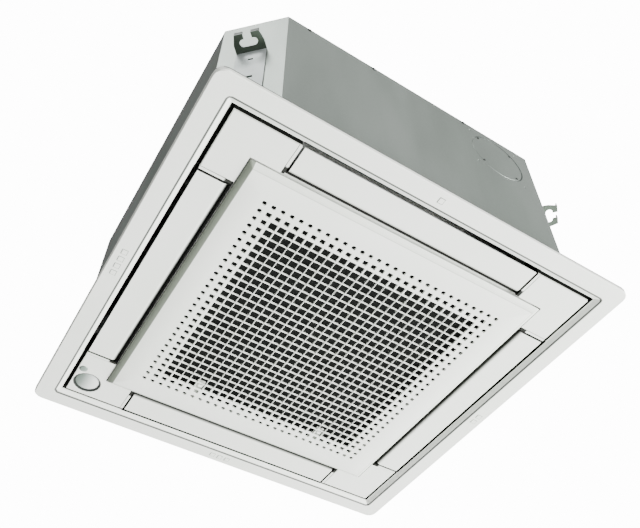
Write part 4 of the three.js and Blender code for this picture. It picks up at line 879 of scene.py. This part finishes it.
def casing_screws():
    """Three screws along the lid and four in the knockout."""
    work = bmesh.new()
    for x in LID_SCREW_X:
        pan_head(work, Vector((x, -CASING - 0.75 * MM, LID_SCREW_Z)), 3.2 * MM, 1.5 * MM)
    for quarter in range(4):
        turn = math.radians(45 + 90 * quarter)
        spot = KNOCKOUT + KNOCKOUT_SCREWS * Vector((math.cos(turn), 0.0, math.sin(turn)))
        pan_head(work, Vector((spot.x, -CASING - 0.5 * MM, spot.z)), 2.3 * MM, 1.0 * MM)
    piece_from(work, "casing_screws", "housing", "steel", SCREW)


# ------------------------------------------------------------------ everything else

# How far each piece's edges are rounded, in millimetres, by its name or the start of its name.
ROUNDING = {
    "panel_frame": 0.5, "top_plate": 0.5, "hanger_bracket": 0.6, "corner_cover": 0.55, "flap_motor": 0.4,
    "flap": 0.5, "casing_shell": 0.35, "pipe_cover_plate": 0.3, "grille_latch": 0.3, "drain_socket": 0.5,
    "gas_flare_nut": 0.6, "liquid_flare_nut": 0.5, "gas_pipe": 0.2, "liquid_pipe": 0.2, "cable_bush": 0.6,
    "fan_motor": 0.8, "turbo_fan": 0.5, "bell_mouth": 0.4, "fan_nut": 0.5, "switch_box": 0.4,
    "terminal_block": 0.4, "control_board": 0.3, "drain_pan": 1.2, "foam_liner": 1.2, "drain_pump": 0.5,
    "float_switch": 0.4, "drain_float": 0.5, "air_filter": 0.3, "sensor_bezel": 0.3, "panel_screw": 0.3,
    "panel_gasket": 0.6, "motor_shaft": 0.3, "motor_bush": 0.4, "heat_exchanger": 0.4, "pump_impeller": 0.2,
    "drain_riser": 0.3, "grille_hinge_pin": 0.15,
}


def material_of(node):
    """The material of a node that needs its own version of its slot's finish."""
    if node == "panel_frame":
        return CREASED
    if node.startswith("flap_") and "motor" not in node:
        return FLAP
    return None


def dress_all():
    """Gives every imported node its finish, and a rounded piece where no other one replaces it."""
    replaced_elsewhere = {"suction_grille", "sensor_lens", "indicator_lens"}
    for node in sorted(NODES):
        NODES[node].data.materials.clear()
        NODES[node].data.materials.append(FINISHES[slot_of(node)])
        if node not in replaced_elsewhere:
            dress(node, named_like(node, ROUNDING, ROUNDING) * MM, material_of(node))


# ------------------------------------------------------------------ stage

def camera():
    data = bpy.data.cameras.new("camera")
    data.lens = 43.78
    data.sensor_width = 36.0
    data.shift_x = -0.0055
    data.shift_y = 0.045
    data.clip_end = 20.0
    made = bpy.data.objects.new("camera", data)
    turn = (CAMERA_AIM - CAMERA_AT).to_track_quat("-Z", "Y").to_matrix().to_4x4()
    made.matrix_world = Matrix.Translation(CAMERA_AT) @ turn @ Matrix.Rotation(CAMERA_ROLL, 4, "Z")
    bpy.context.scene.collection.objects.link(made)
    bpy.context.scene.camera = made


def area_light(name, place, aim, size, power):
    data = bpy.data.lights.new(name, "AREA")
    data.shape = "SQUARE"
    data.size = size
    data.energy = power
    made = bpy.data.objects.new(name, data)
    turn = (Vector(aim) - Vector(place)).to_track_quat("-Z", "Y").to_matrix().to_4x4()
    made.matrix_world = Matrix.Translation(place) @ turn
    bpy.context.scene.collection.objects.link(made)


def room_light(tree):
    """How bright the room is each way: dim overhead, straight below and to the left."""
    place = tree.nodes.new("ShaderNodeTexCoord")
    parts = tree.nodes.new("ShaderNodeSeparateXYZ")
    tree.links.new(place.outputs["Generated"], parts.inputs[0])

    def swing(axis, low, high, at_low, at_high):
        made = tree.nodes.new("ShaderNodeMapRange")
        made.interpolation_type = "SMOOTHSTEP"
        tree.links.new(parts.outputs[axis], made.inputs["Value"])
        made.inputs["From Min"].default_value = low
        made.inputs["From Max"].default_value = high
        made.inputs["To Min"].default_value = at_low
        made.inputs["To Max"].default_value = at_high
        return made.outputs["Result"]

    def product(first, second):
        made = tree.nodes.new("ShaderNodeMath")
        made.operation = "MULTIPLY"
        tree.links.new(first, made.inputs[0])
        tree.links.new(second, made.inputs[1])
        return made.outputs[0]

    overhead = swing("Z", -0.2, 0.8, 3.6, 0.35)
    underneath = swing("Z", -0.85, -0.15, 0.3, 1.0)
    sideways = swing("X", -1.0, 0.6, 0.08, 1.3)
    return product(product(overhead, underneath), sideways)


def world():
    """A room that lights the object, with plain white behind it for the camera."""
    made = bpy.data.worlds.new("studio")
    made.use_nodes = True
    tree = made.node_tree
    seen = tree.nodes["Background"]
    seen.inputs["Color"].default_value = (1.0, 1.0, 1.0, 1.0)
    seen.inputs["Strength"].default_value = 14.0
    room = tree.nodes.new("ShaderNodeBackground")
    tree.links.new(room_light(tree), room.inputs["Strength"])
    paths = tree.nodes.new("ShaderNodeLightPath")
    mix = tree.nodes.new("ShaderNodeMixShader")
    tree.links.new(paths.outputs["Is Camera Ray"], mix.inputs[0])
    tree.links.new(room.outputs[0], mix.inputs[1])
    tree.links.new(seen.outputs[0], mix.inputs[2])
    tree.links.new(mix.outputs[0], tree.nodes["World Output"].inputs["Surface"])
    bpy.context.scene.world = made


def floor():
    work = bmesh.new()
    bmesh.ops.create_grid(
        work, x_segments=1, y_segments=1, size=1.5, matrix=Matrix.Translation((0.0, 0.0, FLOOR_Z)),
    )
    mesh = bpy.data.meshes.new("floor")
    work.to_mesh(mesh)
    work.free()
    made = bpy.data.objects.new("floor", mesh)
    bpy.context.scene.collection.objects.link(made)
    look = Look("floor", (214, 214, 212), 0.9)
    look.tint(look.noise(0.6), (208, 208, 206))
    mesh.materials.append(look.material)


def studio():
    world()
    area_light("key", (2.3, -1.0, -1.7), (0.0, 0.0, 0.0), 1.0, 300.0)
    # Two soft boxes overhead, which the bent corners of the casing pick up.
    area_light("overhead_left", (-1.75, -1.1, 2.5), (-0.2, -0.2, 0.15), 1.1, 45.0)
    area_light("overhead_right", (1.75, 1.1, 2.5), (0.2, -0.2, 0.15), 1.1, 170.0)
    floor()


dress_all()
suction_grille()
outlet_marks()
lens_dome("sensor_lens", "sensor_dome", SENSOR_RISE)
lens_dome("indicator_lens", "indicator_dome", LAMP_RISE)
casing_screws()
camera()
studio()
